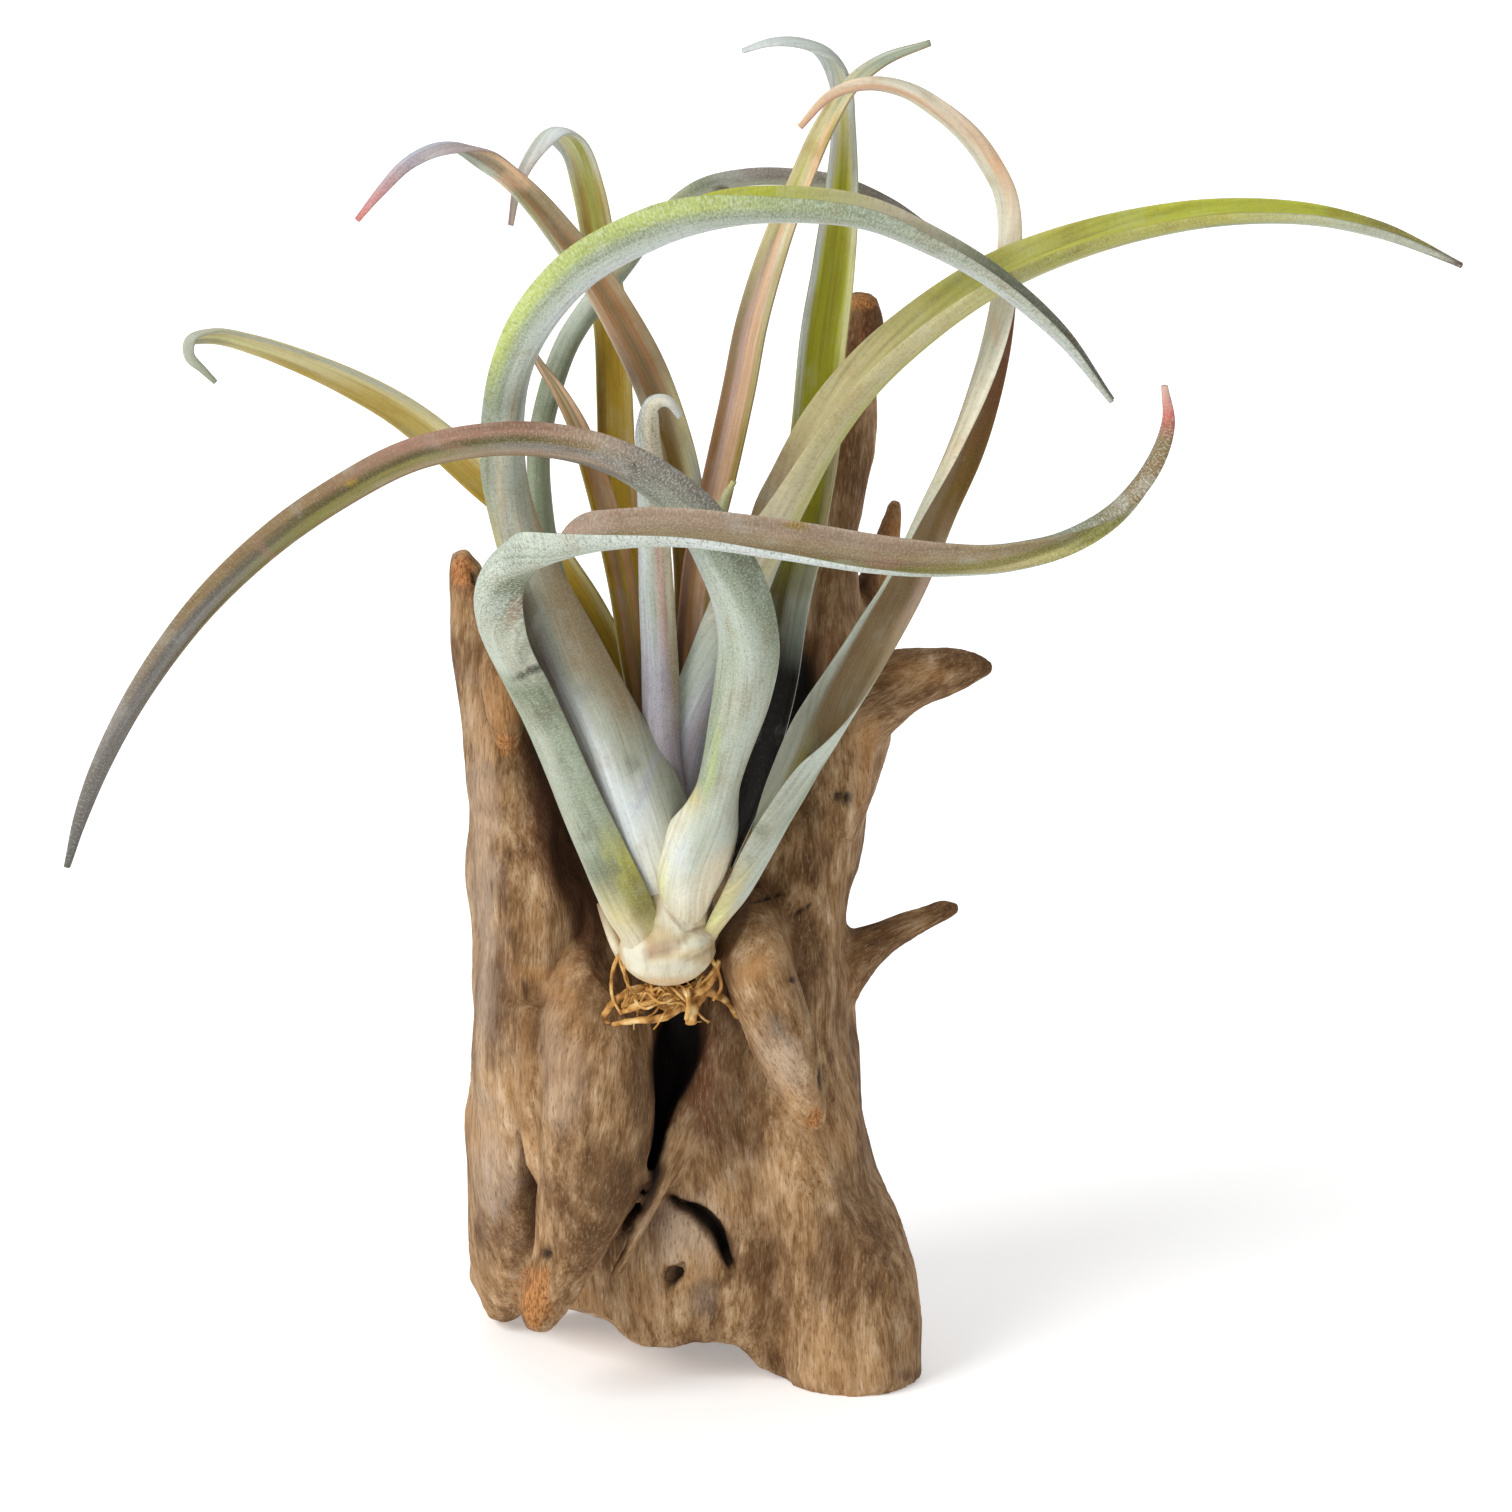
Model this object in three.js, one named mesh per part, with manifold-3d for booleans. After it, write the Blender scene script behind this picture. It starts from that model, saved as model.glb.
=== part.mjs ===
// Air plant with curling channelled leaves, held by its roots on a branched piece of driftwood.
// Millimetres, +Z up, front towards -Y, origin on the floor under the middle of the object.
// Routes are typed as seen from the front: across, up in the view, and back behind the front foot.
import * as THREE from "three";
import { mergeVertices } from "three/addons/utils/BufferGeometryUtils.js";
import Module from "manifold-3d";

const wasm = await Module();
wasm.setup();

const VIEW_TILT = THREE.MathUtils.degToRad(18); // the front view looks down by this much
const MIDDLE_X = 12.2; // middle of the object in the typed coordinates, which becomes the origin
const MIDDLE_Y = 5.2;
const GAP = 0.35; // left between pieces that nest
const BLADE_SEAM = 0.03; // slivers thinner than this close up where leaves are cut
const WOOD_SEAM = 0.2; // the same for the wood, whose sides are coarser
const RIM_ANGLE = 1.2; // half the bend of a leaf's channel, in radians
const BLADE_FACETS = 4; // across a leaf, on each face
const BLADE_MIDDLE = 1.3; // leaf thickness along its keel
const BLADE_EDGE = 0.75; // leaf thickness at its margins
const LEAST_BLADE = 0.5; // thickness of a blade of no width
const TIP_FLATNESS = 0.4; // and how much thicker it gets for each millimetre of width
const LEAST_TURN = 0.5; // a blade seen on edge is not widened beyond the seen width over this
const SEEN_EDGE = 0.8; // what the thickness of the margins adds to the seen width
const STRAND_SIDES = 6;
const STRAND_STEPS = 7;
const FLOOR_BLOCK = 400;

const UP = new THREE.Vector3(0, Math.sin(VIEW_TILT), Math.cos(VIEW_TILT));
const FRONT = new THREE.Vector3(0, -Math.cos(VIEW_TILT), Math.sin(VIEW_TILT));
const RIGHT = new THREE.Vector3(1, 0, 0);
const BACK = new THREE.Vector3(0, 1, 0);

// Leaf stations: across, up, back, width as seen. Faces: station, then where the channel opens to,
// as right, up and towards the front. Cup is the channel's depth as a share of its width.
const LEAVES = {
  leaf_front_left: {
    cup: 0.55,
    rings: 34,
    route: [
      [-10, 88, -5, 6.4],
      [-12, 94.6, -8.4, 8.8],
      [-14.4, 100, -10, 10.6],
      [-18, 108, -11, 9.8],
      [-22.4, 118, -12, 9],
      [-28.8, 133, -13, 7.8],
      [-34.2, 144.6, -15, 8.4],
      [-38.8, 155.6, -19, 10],
      [-39.4, 162.6, -23, 9.4],
      [-35.8, 168, -27, 8.2],
      [-28.4, 171.8, -32, 8],
      [-18, 174, -37, 8],
      [-4, 174.4, -41, 8],
      [16, 172, -43, 8.4],
      [34, 169.2, -43.5, 8.4],
      [48, 168, -43, 6.8],
      [60, 168.2, -42, 6],
      [72, 171, -40, 5.2],
      [82, 176.8, -38, 4.6],
      [89, 185.6, -36, 3.8],
      [92.2, 194.6, -34, 3],
      [91.4, 202, -33, 1.2],
    ],
    faces: [
      [0, 0.5, 0.3, -0.8],
      [3, 0.7, 0.1, -0.7],
      [7, 0.95, 0, -0.1],
      [8, 0.7, 0.2, -0.7],
      [9, 0, 0.3, -0.9],
      [10, -0.35, 0.85, 0.05],
      [11, -0.1, 0.8, 0.55],
      [13, 0.1, 0.65, 0.75],
      [15, 0, 0.45, 0.9],
      [16, 0, 0.2, 1],
      [17, 0.1, -0.5, 0.8],
      [18, 0.5, -0.8, 0.1],
      [21, 0.9, 0, -0.4],
    ],
  },
  leaf_left_drooping: {
    cup: 0.5,
    rings: 32,
    route: [
      [-3.6, 94, -7, 3.6],
      [-2.8, 98.4, -9, 9.6],
      [-2.6, 103.4, -11, 15.4],
      [-0.9, 110.2, -13, 16.4],
      [1.4, 115.6, -15, 12.4],
      [2.8, 120, -16.4, 9.6],
      [3.9, 124.4, -18, 8.2],
      [6, 132.4, -21, 10.6],
      [8.2, 140.6, -24, 12.4],
      [9.8, 150.6, -26.5, 13],
      [8.4, 160.6, -28, 12],
      [4.4, 169.6, -29, 11],
      [-2, 178.6, -29, 9.4],
      [-11, 185.6, -29, 7.8],
      [-21, 190, -29, 7],
      [-33, 192, -28.5, 6.8],
      [-45, 191.4, -28, 6.6],
      [-57, 188.6, -27.5, 6.6],
      [-70, 182, -27, 6.6],
      [-84, 172.4, -28, 6.4],
      [-98, 159.2, -29, 5.8],
      [-110, 143.2, -30, 4.8],
      [-118, 128.6, -31, 4],
      [-122.8, 116.6, -31, 3],
      [-125.4, 107.6, -31, 1.2],
    ],
    faces: [
      [0, 0, 0.2, -1],
      [8, -0.1, 0.1, -1],
      [11, 0.5, 0.3, -0.8],
      [13, 0.5, 0.6, -0.6],
      [15, 0.1, 0.9, -0.3],
      [17, 0, 1, -0.2],
      [20, -0.5, 0.8, -0.2],
      [24, -0.9, 0.4, -0.2],
    ],
  },
  leaf_right_curling: {
    cup: 0.45,
    rings: 32,
    route: [
      [0.6, 92, -5, 2.4],
      [3.8, 97.4, -7, 3.8],
      [7.2, 102.6, -7.6, 5],
      [11.6, 111.4, -8.4, 6.8],
      [15.4, 120, -9, 8],
      [20.2, 130, -9, 10],
      [23.8, 136, -9, 10.4],
      [28, 142.4, -8.6, 10],
      [35.2, 153.6, -7.4, 9.4],
      [41, 163.2, -6, 8.4],
      [47.2, 177.2, -3.6, 7.8],
      [52.6, 188.8, -1.6, 7.4],
      [56.6, 200.6, 0, 7],
      [59.8, 214.6, 1, 6],
      [61.6, 231.2, 1, 5],
      [60.6, 240.4, 0.4, 4.6],
      [57.4, 246.6, -0.6, 4.5],
      [53.2, 252, -2, 4.4],
      [47, 257, -4, 4],
      [40.4, 260.6, -6, 3.4],
      [33, 261.6, -8, 2.9],
      [25.6, 259.2, -9, 2.2],
      [19.6, 253, -10, 1.3],
    ],
    faces: [
      [0, -0.7, 0.3, -0.5],
      [3, -0.8, 0.4, 0],
      [5, -0.75, 0.5, 0.35],
      [7, -0.3, 0.3, 0.9],
      [8, 0.2, -0.1, 1],
      [10, 0.7, -0.3, 0.6],
      [12, 0.9, -0.1, 0.3],
      [14, 1, 0, -0.1],
      [16, 0.8, 0.4, -0.4],
      [19, 0.3, 0.9, -0.3],
      [22, -0.6, 0.7, -0.3],
    ],
  },
  leaf_arch: {
    cup: 0.6,
    rings: 30,
    route: [
      [-5.6, 99.6, -3, 12],
      [-7.8, 110.6, -6, 17.4],
      [-11.9, 121.6, -7.6, 17.8],
      [-15.8, 130, -8.4, 15.6],
      [-20, 138.6, -9, 14.4],
      [-25, 149.6, -9, 13],
      [-30.8, 161.4, -10, 11],
      [-35.6, 172.6, -12, 10],
      [-38.6, 184, -14, 9.4],
      [-38.8, 197, -17, 8.6],
      [-36.4, 208, -20, 8.4],
      [-31.6, 217, -22, 8.6],
      [-23.2, 225.6, -24, 8.7],
      [-10.4, 232.4, -25, 8.4],
      [1, 236, -26, 7.8],
      [14, 237.6, -26, 7.8],
      [32, 236.2, -25, 7],
      [46, 230.6, -22, 5.8],
      [58.3, 223.6, -19, 5],
      [71.6, 212.4, -16, 4],
      [81.6, 199.6, -14, 1.2],
    ],
    faces: [
      [0, 0.5, 0, -0.8],
      [5, 0.3, 0, -1],
      [7, 0, 0, -1],
      [9, -0.5, 0, -0.8],
      [11, -0.7, 0.4, -0.5],
      [13, -0.3, 0.9, -0.2],
      [15, 0, 1, 0.3],
      [17, 0.4, 0.9, 0.4],
      [20, 0.6, 0.7, 0.5],
    ],
  },
  leaf_small_centre: {
    cup: 0.45,
    rings: 18,
    route: [
      [-5.6, 120.6, -3, 6],
      [-7.4, 131.6, -5, 8],
      [-7.8, 146.6, -6, 8],
      [-8.4, 160.6, -8, 7.6],
      [-9, 174.6, -10, 6.6],
      [-9.6, 186.6, -12, 5.8],
      [-10, 194.2, -13, 5],
      [-8.8, 198.6, -14, 3.8],
      [-6.4, 199, -14.5, 2.6],
      [-4, 196.2, -14.5, 1.2],
    ],
    faces: [
      [0, 0.1, 0.1, -1],
      [6, 0.3, 0, -0.9],
      [7, 0.7, -0.5, -0.4],
      [8, 0.3, -0.9, -0.2],
      [9, -0.5, -0.8, -0.2],
    ],
  },
  leaf_small_tip: {
    cup: 0.4,
    rings: 10,
    route: [
      [6, 128.6, -6, 3.5],
      [6.6, 142.6, -8, 4],
      [6, 156.6, -9, 4],
      [4.4, 168.6, -9, 3.6],
      [3.8, 175.6, -9.5, 3],
      [5, 180.6, -10, 2],
      [6.8, 183.8, -10.5, 1],
    ],
    faces: [
      [0, -0.2, 0, -1],
      [6, -0.4, 0.1, -0.9],
    ],
  },
  leaf_right_long: {
    cup: 0.5,
    rings: 26,
    route: [
      [-2, 110.6, 0, 8],
      [-3.4, 126.6, 0, 9],
      [-1, 139.6, -1, 10],
      [3.2, 150.6, -2, 10],
      [7.4, 160.6, -3, 10],
      [11.6, 170.6, -4, 10],
      [17, 181.6, -5, 9.8],
      [24, 194.6, -6, 9.6],
      [32.4, 205.4, -7, 9.4],
      [44, 215.6, -8, 9],
      [56, 223.6, -8, 8.6],
      [68, 229, -8.5, 8],
      [84, 233.8, -9, 6.8],
      [102, 236.6, -10.5, 5.8],
      [120, 236.2, -12.5, 4.6],
      [134, 233, -14, 3.6],
      [142, 229.8, -15, 2.6],
      [150, 226, -15, 1.2],
    ],
    faces: [
      [0, 0.1, 0.1, -1],
      [3, -0.5, 0.3, -0.8],
      [5, -0.9, 0.4, 0],
      [7, -0.8, 0.6, 0.4],
      [10, -0.5, 0.8, 0.5],
      [13, 0, 0.9, 0.5],
      [17, 0.3, 0.9, 0.3],
    ],
  },
  leaf_tall_brown: {
    cup: 0.25,
    rings: 22,
    route: [
      [-1, 112.6, 3, 6],
      [-2.4, 132.6, 4.5, 7],
      [-1.6, 152.6, 4.5, 7],
      [0, 168.6, 4, 7],
      [3.8, 184.6, 3, 7.2],
      [7.6, 201.6, 2, 7.2],
      [10.4, 215.6, 2, 7],
      [15, 230.6, 1, 6.2],
      [19.6, 242.2, 0, 5.2],
      [24.4, 253, -1, 4.8],
      [29.6, 261.2, -1, 4],
      [36, 266.2, -1, 3.2],
      [45.4, 269.6, -2, 1.4],
    ],
    faces: [
      [0, -0.35, 0.1, 1],
      [12, -0.4, 0.2, 0.9],
    ],
  },
  leaf_upper_left: {
    cup: 0.25,
    rings: 26,
    route: [
      [-2, 110.6, 5, 6],
      [-1.8, 132.6, 8, 7],
      [-1.4, 152.6, 9, 8],
      [-1.6, 168.6, 8.5, 8],
      [-3.4, 184.6, 6, 8],
      [-6.6, 196, 4, 8.4],
      [-10.4, 206, 3, 8.4],
      [-16, 216.6, 2, 8],
      [-21.2, 225, 2, 7.4],
      [-26.4, 231.6, 1, 6.6],
      [-32.2, 238.6, 0, 5.6],
      [-38, 244, -1, 4.8],
      [-44, 247.6, -1, 4.2],
      [-50.4, 248.8, -1.5, 3.6],
      [-57, 246, -2.5, 3.2],
      [-62.4, 240.6, -4, 2.6],
      [-67.2, 234.8, -5, 1.2],
    ],
    faces: [
      [0, 0, 0.1, 1],
      [9, 0.2, 0.1, 1],
      [11, 0.5, -0.2, 0.8],
      [12, 0.4, -0.8, 0.2],
      [13, 0.2, -0.9, -0.4],
      [16, 0.8, -0.4, -0.5],
    ],
  },
  leaf_narrow_tan: {
    cup: 0.3,
    rings: 16,
    route: [
      [-6.4, 110.6, 1, 5],
      [-10, 132.6, 4, 6],
      [-13.4, 150.6, 5, 6],
      [-15.6, 164.6, 5, 6],
      [-18.8, 178.6, 4, 6],
      [-21.2, 186.6, 3.5, 5.4],
      [-24, 194.6, 2.5, 4.4],
      [-28, 202, 1.5, 3],
      [-31, 206.2, 1, 2.4],
      [-34.4, 211.6, 1, 1],
    ],
    faces: [
      [0, 0.2, 0.1, 1],
      [9, 0.3, 0.2, 1],
    ],
  },
  leaf_tall_green: {
    cup: 0.25,
    rings: 28,
    route: [
      [3, 108.6, 2, 8],
      [8.4, 122.6, 3, 10],
      [13.2, 140.6, 4, 12],
      [16.6, 160.6, 5, 11.5],
      [20.4, 176.6, 5, 11],
      [23, 192.6, 6, 10.6],
      [24.4, 210.6, 6, 10.2],
      [26.6, 226.6, 6, 9.2],
      [28.2, 242.6, 6, 7],
      [28.4, 254.2, 5, 5],
      [27.6, 262.2, 4, 4.6],
      [24.8, 267.2, 2, 4.4],
      [20, 269.2, 0, 3.4],
      [14, 269.2, -3, 2.6],
      [8.6, 267.6, -4, 1.2],
    ],
    faces: [
      [0, 0, 0.1, 1],
      [9, 0, 0, 1],
      [10, -0.6, -0.1, 0.7],
      [11, -0.7, -0.6, 0.2],
      [12, -0.2, -0.9, -0.2],
      [14, 0.2, -1, -0.2],
    ],
  },
  leaf_back_grey: {
    cup: 0.4,
    rings: 28,
    route: [
      [-7, 105, 0.5, 5],
      [-15.6, 131.6, 7, 5],
      [-23.4, 150.6, 7, 5],
      [-29.4, 166.6, 6, 5],
      [-31.8, 180.6, 6, 5],
      [-32, 191.6, 7, 5],
      [-29.6, 203, 9, 5],
      [-26.4, 211.6, 10, 5],
      [-21.6, 219, 11, 5],
      [-15.6, 226.6, 11.5, 4.6],
      [-9, 234.6, 12, 4],
      [0, 242, 12.5, 3.8],
      [9, 244.2, 13, 3.8],
      [18, 244.4, 14, 3.6],
      [28, 243, 14, 3.4],
      [38, 238.8, 13, 2.8],
      [46, 233.6, 11.5, 2.2],
      [57, 227, 9, 1.2],
    ],
    faces: [
      [0, 0.3, 0.1, -0.9],
      [6, -0.5, 0.2, -0.8],
      [10, -0.5, 0.6, -0.6],
      [13, 0, 0.9, -0.4],
      [17, 0.5, 0.8, -0.3],
    ],
  },
  leaf_left_olive: {
    cup: 0.3,
    rings: 30,
    route: [
      [-6, 106, 1, 5],
      [-13.6, 138, 11, 6],
      [-19.4, 154.6, 12, 6],
      [-27, 166.6, 13, 6.4],
      [-36, 177.6, 14, 7.2],
      [-44, 185, 14, 8],
      [-52, 192.2, 14, 7.6],
      [-60, 198.2, 14, 7],
      [-69, 203.2, 14, 6.2],
      [-79, 207.6, 13.5, 5.2],
      [-88.8, 211, 12.5, 4.2],
      [-96.4, 212.6, 11, 3.4],
      [-100.8, 211.6, 8.5, 3],
      [-100.8, 208.6, 5.5, 2.4],
      [-98.4, 206.2, 4, 2],
      [-95.8, 203.6, 3, 1],
    ],
    faces: [
      [0, -0.2, 0.1, 1],
      [5, -0.2, -0.4, 0.9],
      [10, -0.1, -0.5, 0.85],
      [11, 0, -0.8, 0.5],
      [12, 0.6, -0.4, -0.2],
      [13, 0.7, 0.2, -0.6],
      [15, 0.5, 0.5, -0.7],
    ],
  },
  leaf_back_yellow: {
    cup: 0.22,
    rings: 26,
    route: [
      [-4.4, 105, 1.2, 6],
      [-10, 128.6, 14, 8],
      [-12.4, 148.6, 17, 8],
      [-14.4, 168.6, 17.5, 8],
      [-16.4, 186, 18, 8],
      [-17, 201, 18, 7.8],
      [-17.6, 214.6, 18, 7.6],
      [-19.6, 228.2, 19, 7.4],
      [-22.2, 242.2, 18.5, 7],
      [-25, 249.8, 16.5, 5.8],
      [-28.8, 252.2, 13.5, 4.4],
      [-32.4, 248.6, 11, 3.4],
      [-35.6, 242.6, 9.5, 2.6],
      [-37.2, 234.4, 8, 1.2],
    ],
    faces: [
      [0, 0, 0.1, 1],
      [8, -0.1, 0.1, 1],
      [9, -0.3, -0.3, 0.9],
      [10, -0.2, -0.9, 0.1],
      [11, 0.5, -0.6, -0.6],
      [13, 0.6, -0.1, -0.8],
    ],
  },
};

// Stem stations and wood limbs: across, up, back, half the width, half the depth.
const STEM = {
  sides: 18,
  rings: 14,
  lump: 0.03,
  phase: 0.4,
  route: [
    [-4.8, 83.4, -2, 1.6, 2],
    [-5, 84.6, -2, 4.6, 4.8],
    [-6, 87.8, -2, 7.8, 7.4],
    [-6.6, 92.8, -2.4, 9.6, 8.8],
    [-5.8, 99, -3, 9.4, 8.4],
    [-4.4, 106, -3, 7, 6.4],
    [-3.4, 113, -1.6, 5, 4.6],
    [-3.6, 120, 0, 2.6, 2.6],
  ],
};
const WOOD_BODY = [
  {
    // heart of the piece, between the two side walls
    sides: 20,
    rings: 14,
    lump: 0.03,
    phase: 1.1,
    route: [
      [2, 8, 32, 36, 26],
      [0, 22, 31, 38, 29],
      [-3, 40, 30, 36, 29],
      [-5, 60, 30, 34, 28],
      [-6, 80, 30, 33, 26],
      [-6, 100, 31, 31, 22],
      [-4, 116, 32, 29, 17],
      [-2, 128, 32, 25, 12],
      [-2, 135, 32, 16, 6],
    ],
  },
  {
    // left wall, from the rear left foot to the left prong's torn tip
    sides: 14,
    rings: 20,
    lump: 0.05,
    phase: 2.3,
    route: [
      [-40, 12, 50, 6.4, 8],
      [-39, 22, 46, 8.6, 13],
      [-37, 36, 39, 11, 18],
      [-35.6, 52, 32, 11.6, 20],
      [-34, 70, 28, 11.8, 21],
      [-34, 88, 26, 12, 20],
      [-34.4, 106, 25, 13, 17],
      [-36.6, 122, 25, 10.6, 13],
      [-40, 134, 25, 7.8, 10.4],
      [-42.6, 145, 25, 6.2, 8.4],
      [-44.6, 155, 25, 5.4, 6.8],
      [-46.2, 163, 25, 4.2, 5.2],
      [-47.6, 168, 25, 2.8, 3.4],
      [-48, 170.4, 25, 1.4, 1.8],
    ],
  },
  {
    // right wall, from the front foot up to the shoulder
    sides: 16,
    rings: 14,
    lump: 0.04,
    phase: 0.2,
    route: [
      [31, -4, 9, 11.6, 10.6],
      [31, 6, 11, 14.2, 13.6],
      [29.4, 18, 14, 15.2, 17],
      [26.4, 30, 18, 14.6, 20],
      [22.6, 42, 22, 14, 23],
      [19.6, 56, 25, 13, 24],
      [17.6, 72, 27, 13, 23],
      [16.6, 90, 28, 13.2, 21],
      [18.4, 104, 29, 12.6, 18],
      [22.4, 115, 29, 11.4, 15.6],
      [26, 125, 29, 8, 11],
      [28, 132, 29, 4, 6],
    ],
  },
  {
    // heel at the rear right
    sides: 12,
    rings: 6,
    lump: 0.03,
    phase: 4.9,
    route: [
      [20, 46, 42, 12, 12],
      [23, 30, 47, 10, 10],
      [25, 19, 50, 7.6, 7.6],
      [26, 13, 51, 6, 6],
    ],
  },
];
const WOOD_LIMBS = [
  {
    // right prong up to its torn top
    sides: 14,
    rings: 20,
    lump: 0.05,
    phase: 3.7,
    route: [
      [19, 104, 30, 8, 12],
      [25, 120, 29, 9.6, 14],
      [29, 134, 28.5, 9.6, 12.6],
      [28, 148, 28, 7.6, 10.6],
      [26, 162, 28, 6, 9],
      [26.4, 176, 28, 5.6, 8],
      [29.2, 190, 28, 5.6, 7.4],
      [30.2, 202, 28, 4.8, 6.6],
      [32, 212, 28, 5, 5.8],
      [32.4, 219, 28, 3.6, 4],
      [32.6, 221.4, 28, 2.4, 2.6],
    ],
  },
  {
    // broad bulge at the front that ends in a torn stub
    sides: 18,
    rings: 18,
    lump: 0.035,
    phase: 5.1,
    route: [
      [-24, 90, 20, 6, 8],
      [-22.6, 81, 12, 9.4, 12],
      [-21.4, 69, 5, 11.6, 13.4],
      [-20.8, 57, 1, 12.2, 13],
      [-21.6, 46, -1.5, 11, 11.6],
      [-24.4, 36, -3.5, 8.8, 9.6],
      [-28.2, 27, -5.5, 6.2, 7],
      [-31.4, 20, -7, 4.8, 5],
      [-32.6, 15.6, -8, 3.6, 3.6],
      [-33, 13.6, -8.4, 2.2, 2.2],
    ],
  },
  {
    // thin dark spike beside the bulge
    sides: 10,
    rings: 9,
    lump: 0.04,
    phase: 0.9,
    route: [
      [0, 66, 14, 5, 6],
      [-4.6, 56, 6.6, 4.6, 5.4],
      [-8.2, 47, 1.6, 3.9, 4.4],
      [-11.4, 39, -1.6, 3.1, 3.3],
      [-14.4, 31.4, -4.2, 2.3, 2.4],
      [-16.8, 26, -5.8, 1.6, 1.7],
      [-17.6, 24, -6.2, 0.9, 0.9],
    ],
  },
  {
    // spike that hangs at the right front
    sides: 12,
    rings: 12,
    lump: 0.04,
    phase: 2.8,
    route: [
      [8, 99, 15, 6, 8],
      [10.8, 90.6, 4, 7.2, 8],
      [14.2, 79, -3, 7.2, 7],
      [18, 69, -7.6, 6, 5.8],
      [20.8, 61.6, -10.6, 4.6, 4.4],
      [22.2, 56.8, -12.2, 3, 2.8],
      [22.7, 54.8, -12.8, 1.6, 1.5],
    ],
  },
  {
    // wedge branch at the right
    sides: 12,
    rings: 12,
    lump: 0.04,
    phase: 4.4,
    route: [
      [22, 126, 27, 9, 10],
      [32, 138, 25, 8.4, 8.6],
      [41, 144.6, 24, 6.6, 7],
      [49, 146.4, 23, 4.6, 5],
      [55, 147.2, 22.5, 2.6, 3],
      [58.6, 147, 22, 1, 1.2],
    ],
  },
  {
    // pale spike behind the right prong
    sides: 9,
    rings: 9,
    lump: 0.03,
    phase: 1.7,
    route: [
      [31, 148, 33, 5, 5.4],
      [34, 160, 36, 3.6, 4],
      [37, 170, 38, 2.9, 3],
      [38.6, 177, 39, 1.8, 2],
      [39.2, 180.8, 39.4, 0.8, 0.9],
    ],
  },
  {
    // thin branch at the lower right
    sides: 10,
    rings: 12,
    lump: 0.04,
    phase: 3.2,
    route: [
      [22, 80, 27, 9, 10],
      [30.6, 89, 25, 5.6, 6.4],
      [37, 92.8, 24, 3.7, 4],
      [44, 96, 23, 2.8, 3],
      [49.6, 98.2, 22.5, 2.4, 2.5],
      [52.4, 99, 22.2, 1.2, 1.3],
    ],
  },
  {
    // short stub on the left prong
    sides: 9,
    rings: 7,
    lump: 0.03,
    phase: 0.6,
    route: [
      [-41, 152, 20, 3.2, 3.8],
      [-39.8, 144, 14, 3.6, 3.8],
      [-38.9, 137, 10, 3.3, 3.4],
      [-38.6, 132.4, 8, 2.7, 2.8],
      [-38.5, 130.8, 7.6, 1.8, 1.9],
    ],
  },
];
// Hollows taken out of the wood, in the same form as its limbs.
const WOOD_HOLLOWS = [
  {
    // the pocket that the plant sits in, closing to a crevice below it
    sides: 16,
    rings: 20,
    lump: 0.05,
    phase: 0.3,
    route: [
      [-8.4, 53, 2, 0.9, 6],
      [-7, 60, 3, 2.4, 9],
      [-4.8, 68, 4, 5, 12],
      [-4.4, 77, 5, 7, 14],
      [-8, 86, 5, 11.4, 15.5],
      [-9.6, 94, 5, 16, 17],
      [-10, 103, 5, 19.4, 19],
      [-9, 113, 6, 21.6, 20],
      [-7, 126, 8, 25, 20],
      [-6, 142, 10, 26, 20],
      [-6, 160, 10, 24, 20],
    ],
  },
  {
    // crevice between the bulge and the wood beside it
    sides: 8,
    rings: 12,
    lump: 0,
    phase: 0,
    route: [
      [-8.8, 60, 5, 1.2, 8],
      [-9.4, 52, 4, 1.5, 7],
      [-11, 45, 3, 1.6, 6.5],
      [-13.8, 38, 1, 1.5, 6.5],
      [-17, 31, -1, 1.4, 6],
      [-20.2, 25, -3, 1.2, 5.5],
      [-23, 19, -5, 0.8, 5],
    ],
  },
  {
    // slanting slit low on the front
    sides: 8,
    rings: 9,
    lump: 0,
    phase: 0,
    route: [
      [-8.4, 41.8, 0, 0.7, 5],
      [-4.4, 38.6, 0, 1.7, 7],
      [0, 36.6, 0, 2.3, 8],
      [3.4, 33, 0, 2.2, 7.5],
      [5.2, 28, 1, 1.3, 7],
      [7.8, 22.8, 1, 0.7, 5],
    ],
  },
  {
    // small pit beside the slit
    sides: 8,
    rings: 5,
    lump: 0,
    phase: 0,
    route: [
      [-8, 22.4, 0, 0.9, 5],
      [-5.8, 25, 0, 1.5, 6],
      [-3.2, 25.4, 0, 0.9, 5],
    ],
  },
  {
    // hollow under the back, between the middle knob and the heel
    sides: 12,
    rings: 8,
    lump: 0.04,
    phase: 2.2,
    route: [
      [8, 4, 36, 9, 26],
      [8, 14, 36, 8, 24],
      [8, 19, 36, 5, 18],
      [8, 22, 36, 2, 8],
    ],
  },
];

// Lower edge of the wood as seen from the front: across, up. The underside runs back from it.
const LOWER_EDGE = [
  [-60, 23],
  [-47.6, 22.6],
  [-46.4, 21.6],
  [-44.2, 17.8],
  [-43, 14.4],
  [-40.4, 13.4],
  [-38, 14],
  [-36.2, 16],
  [-33, 17.4],
  [-28, 17.2],
  [-21, 15.8],
  [-18, 15],
  [-16, 12.6],
  [-12.4, 10.4],
  [-4.8, 10.2],
  [-1.6, 11.2],
  [3, 11.2],
  [7.6, 10.2],
  [10.2, 8],
  [12, 5.6],
  [17, 2.8],
  [20, 0],
  [21, -6],
];
const UNDERSIDE_REACH = 120; // how far the cut under the lower edge runs, front to back

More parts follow.
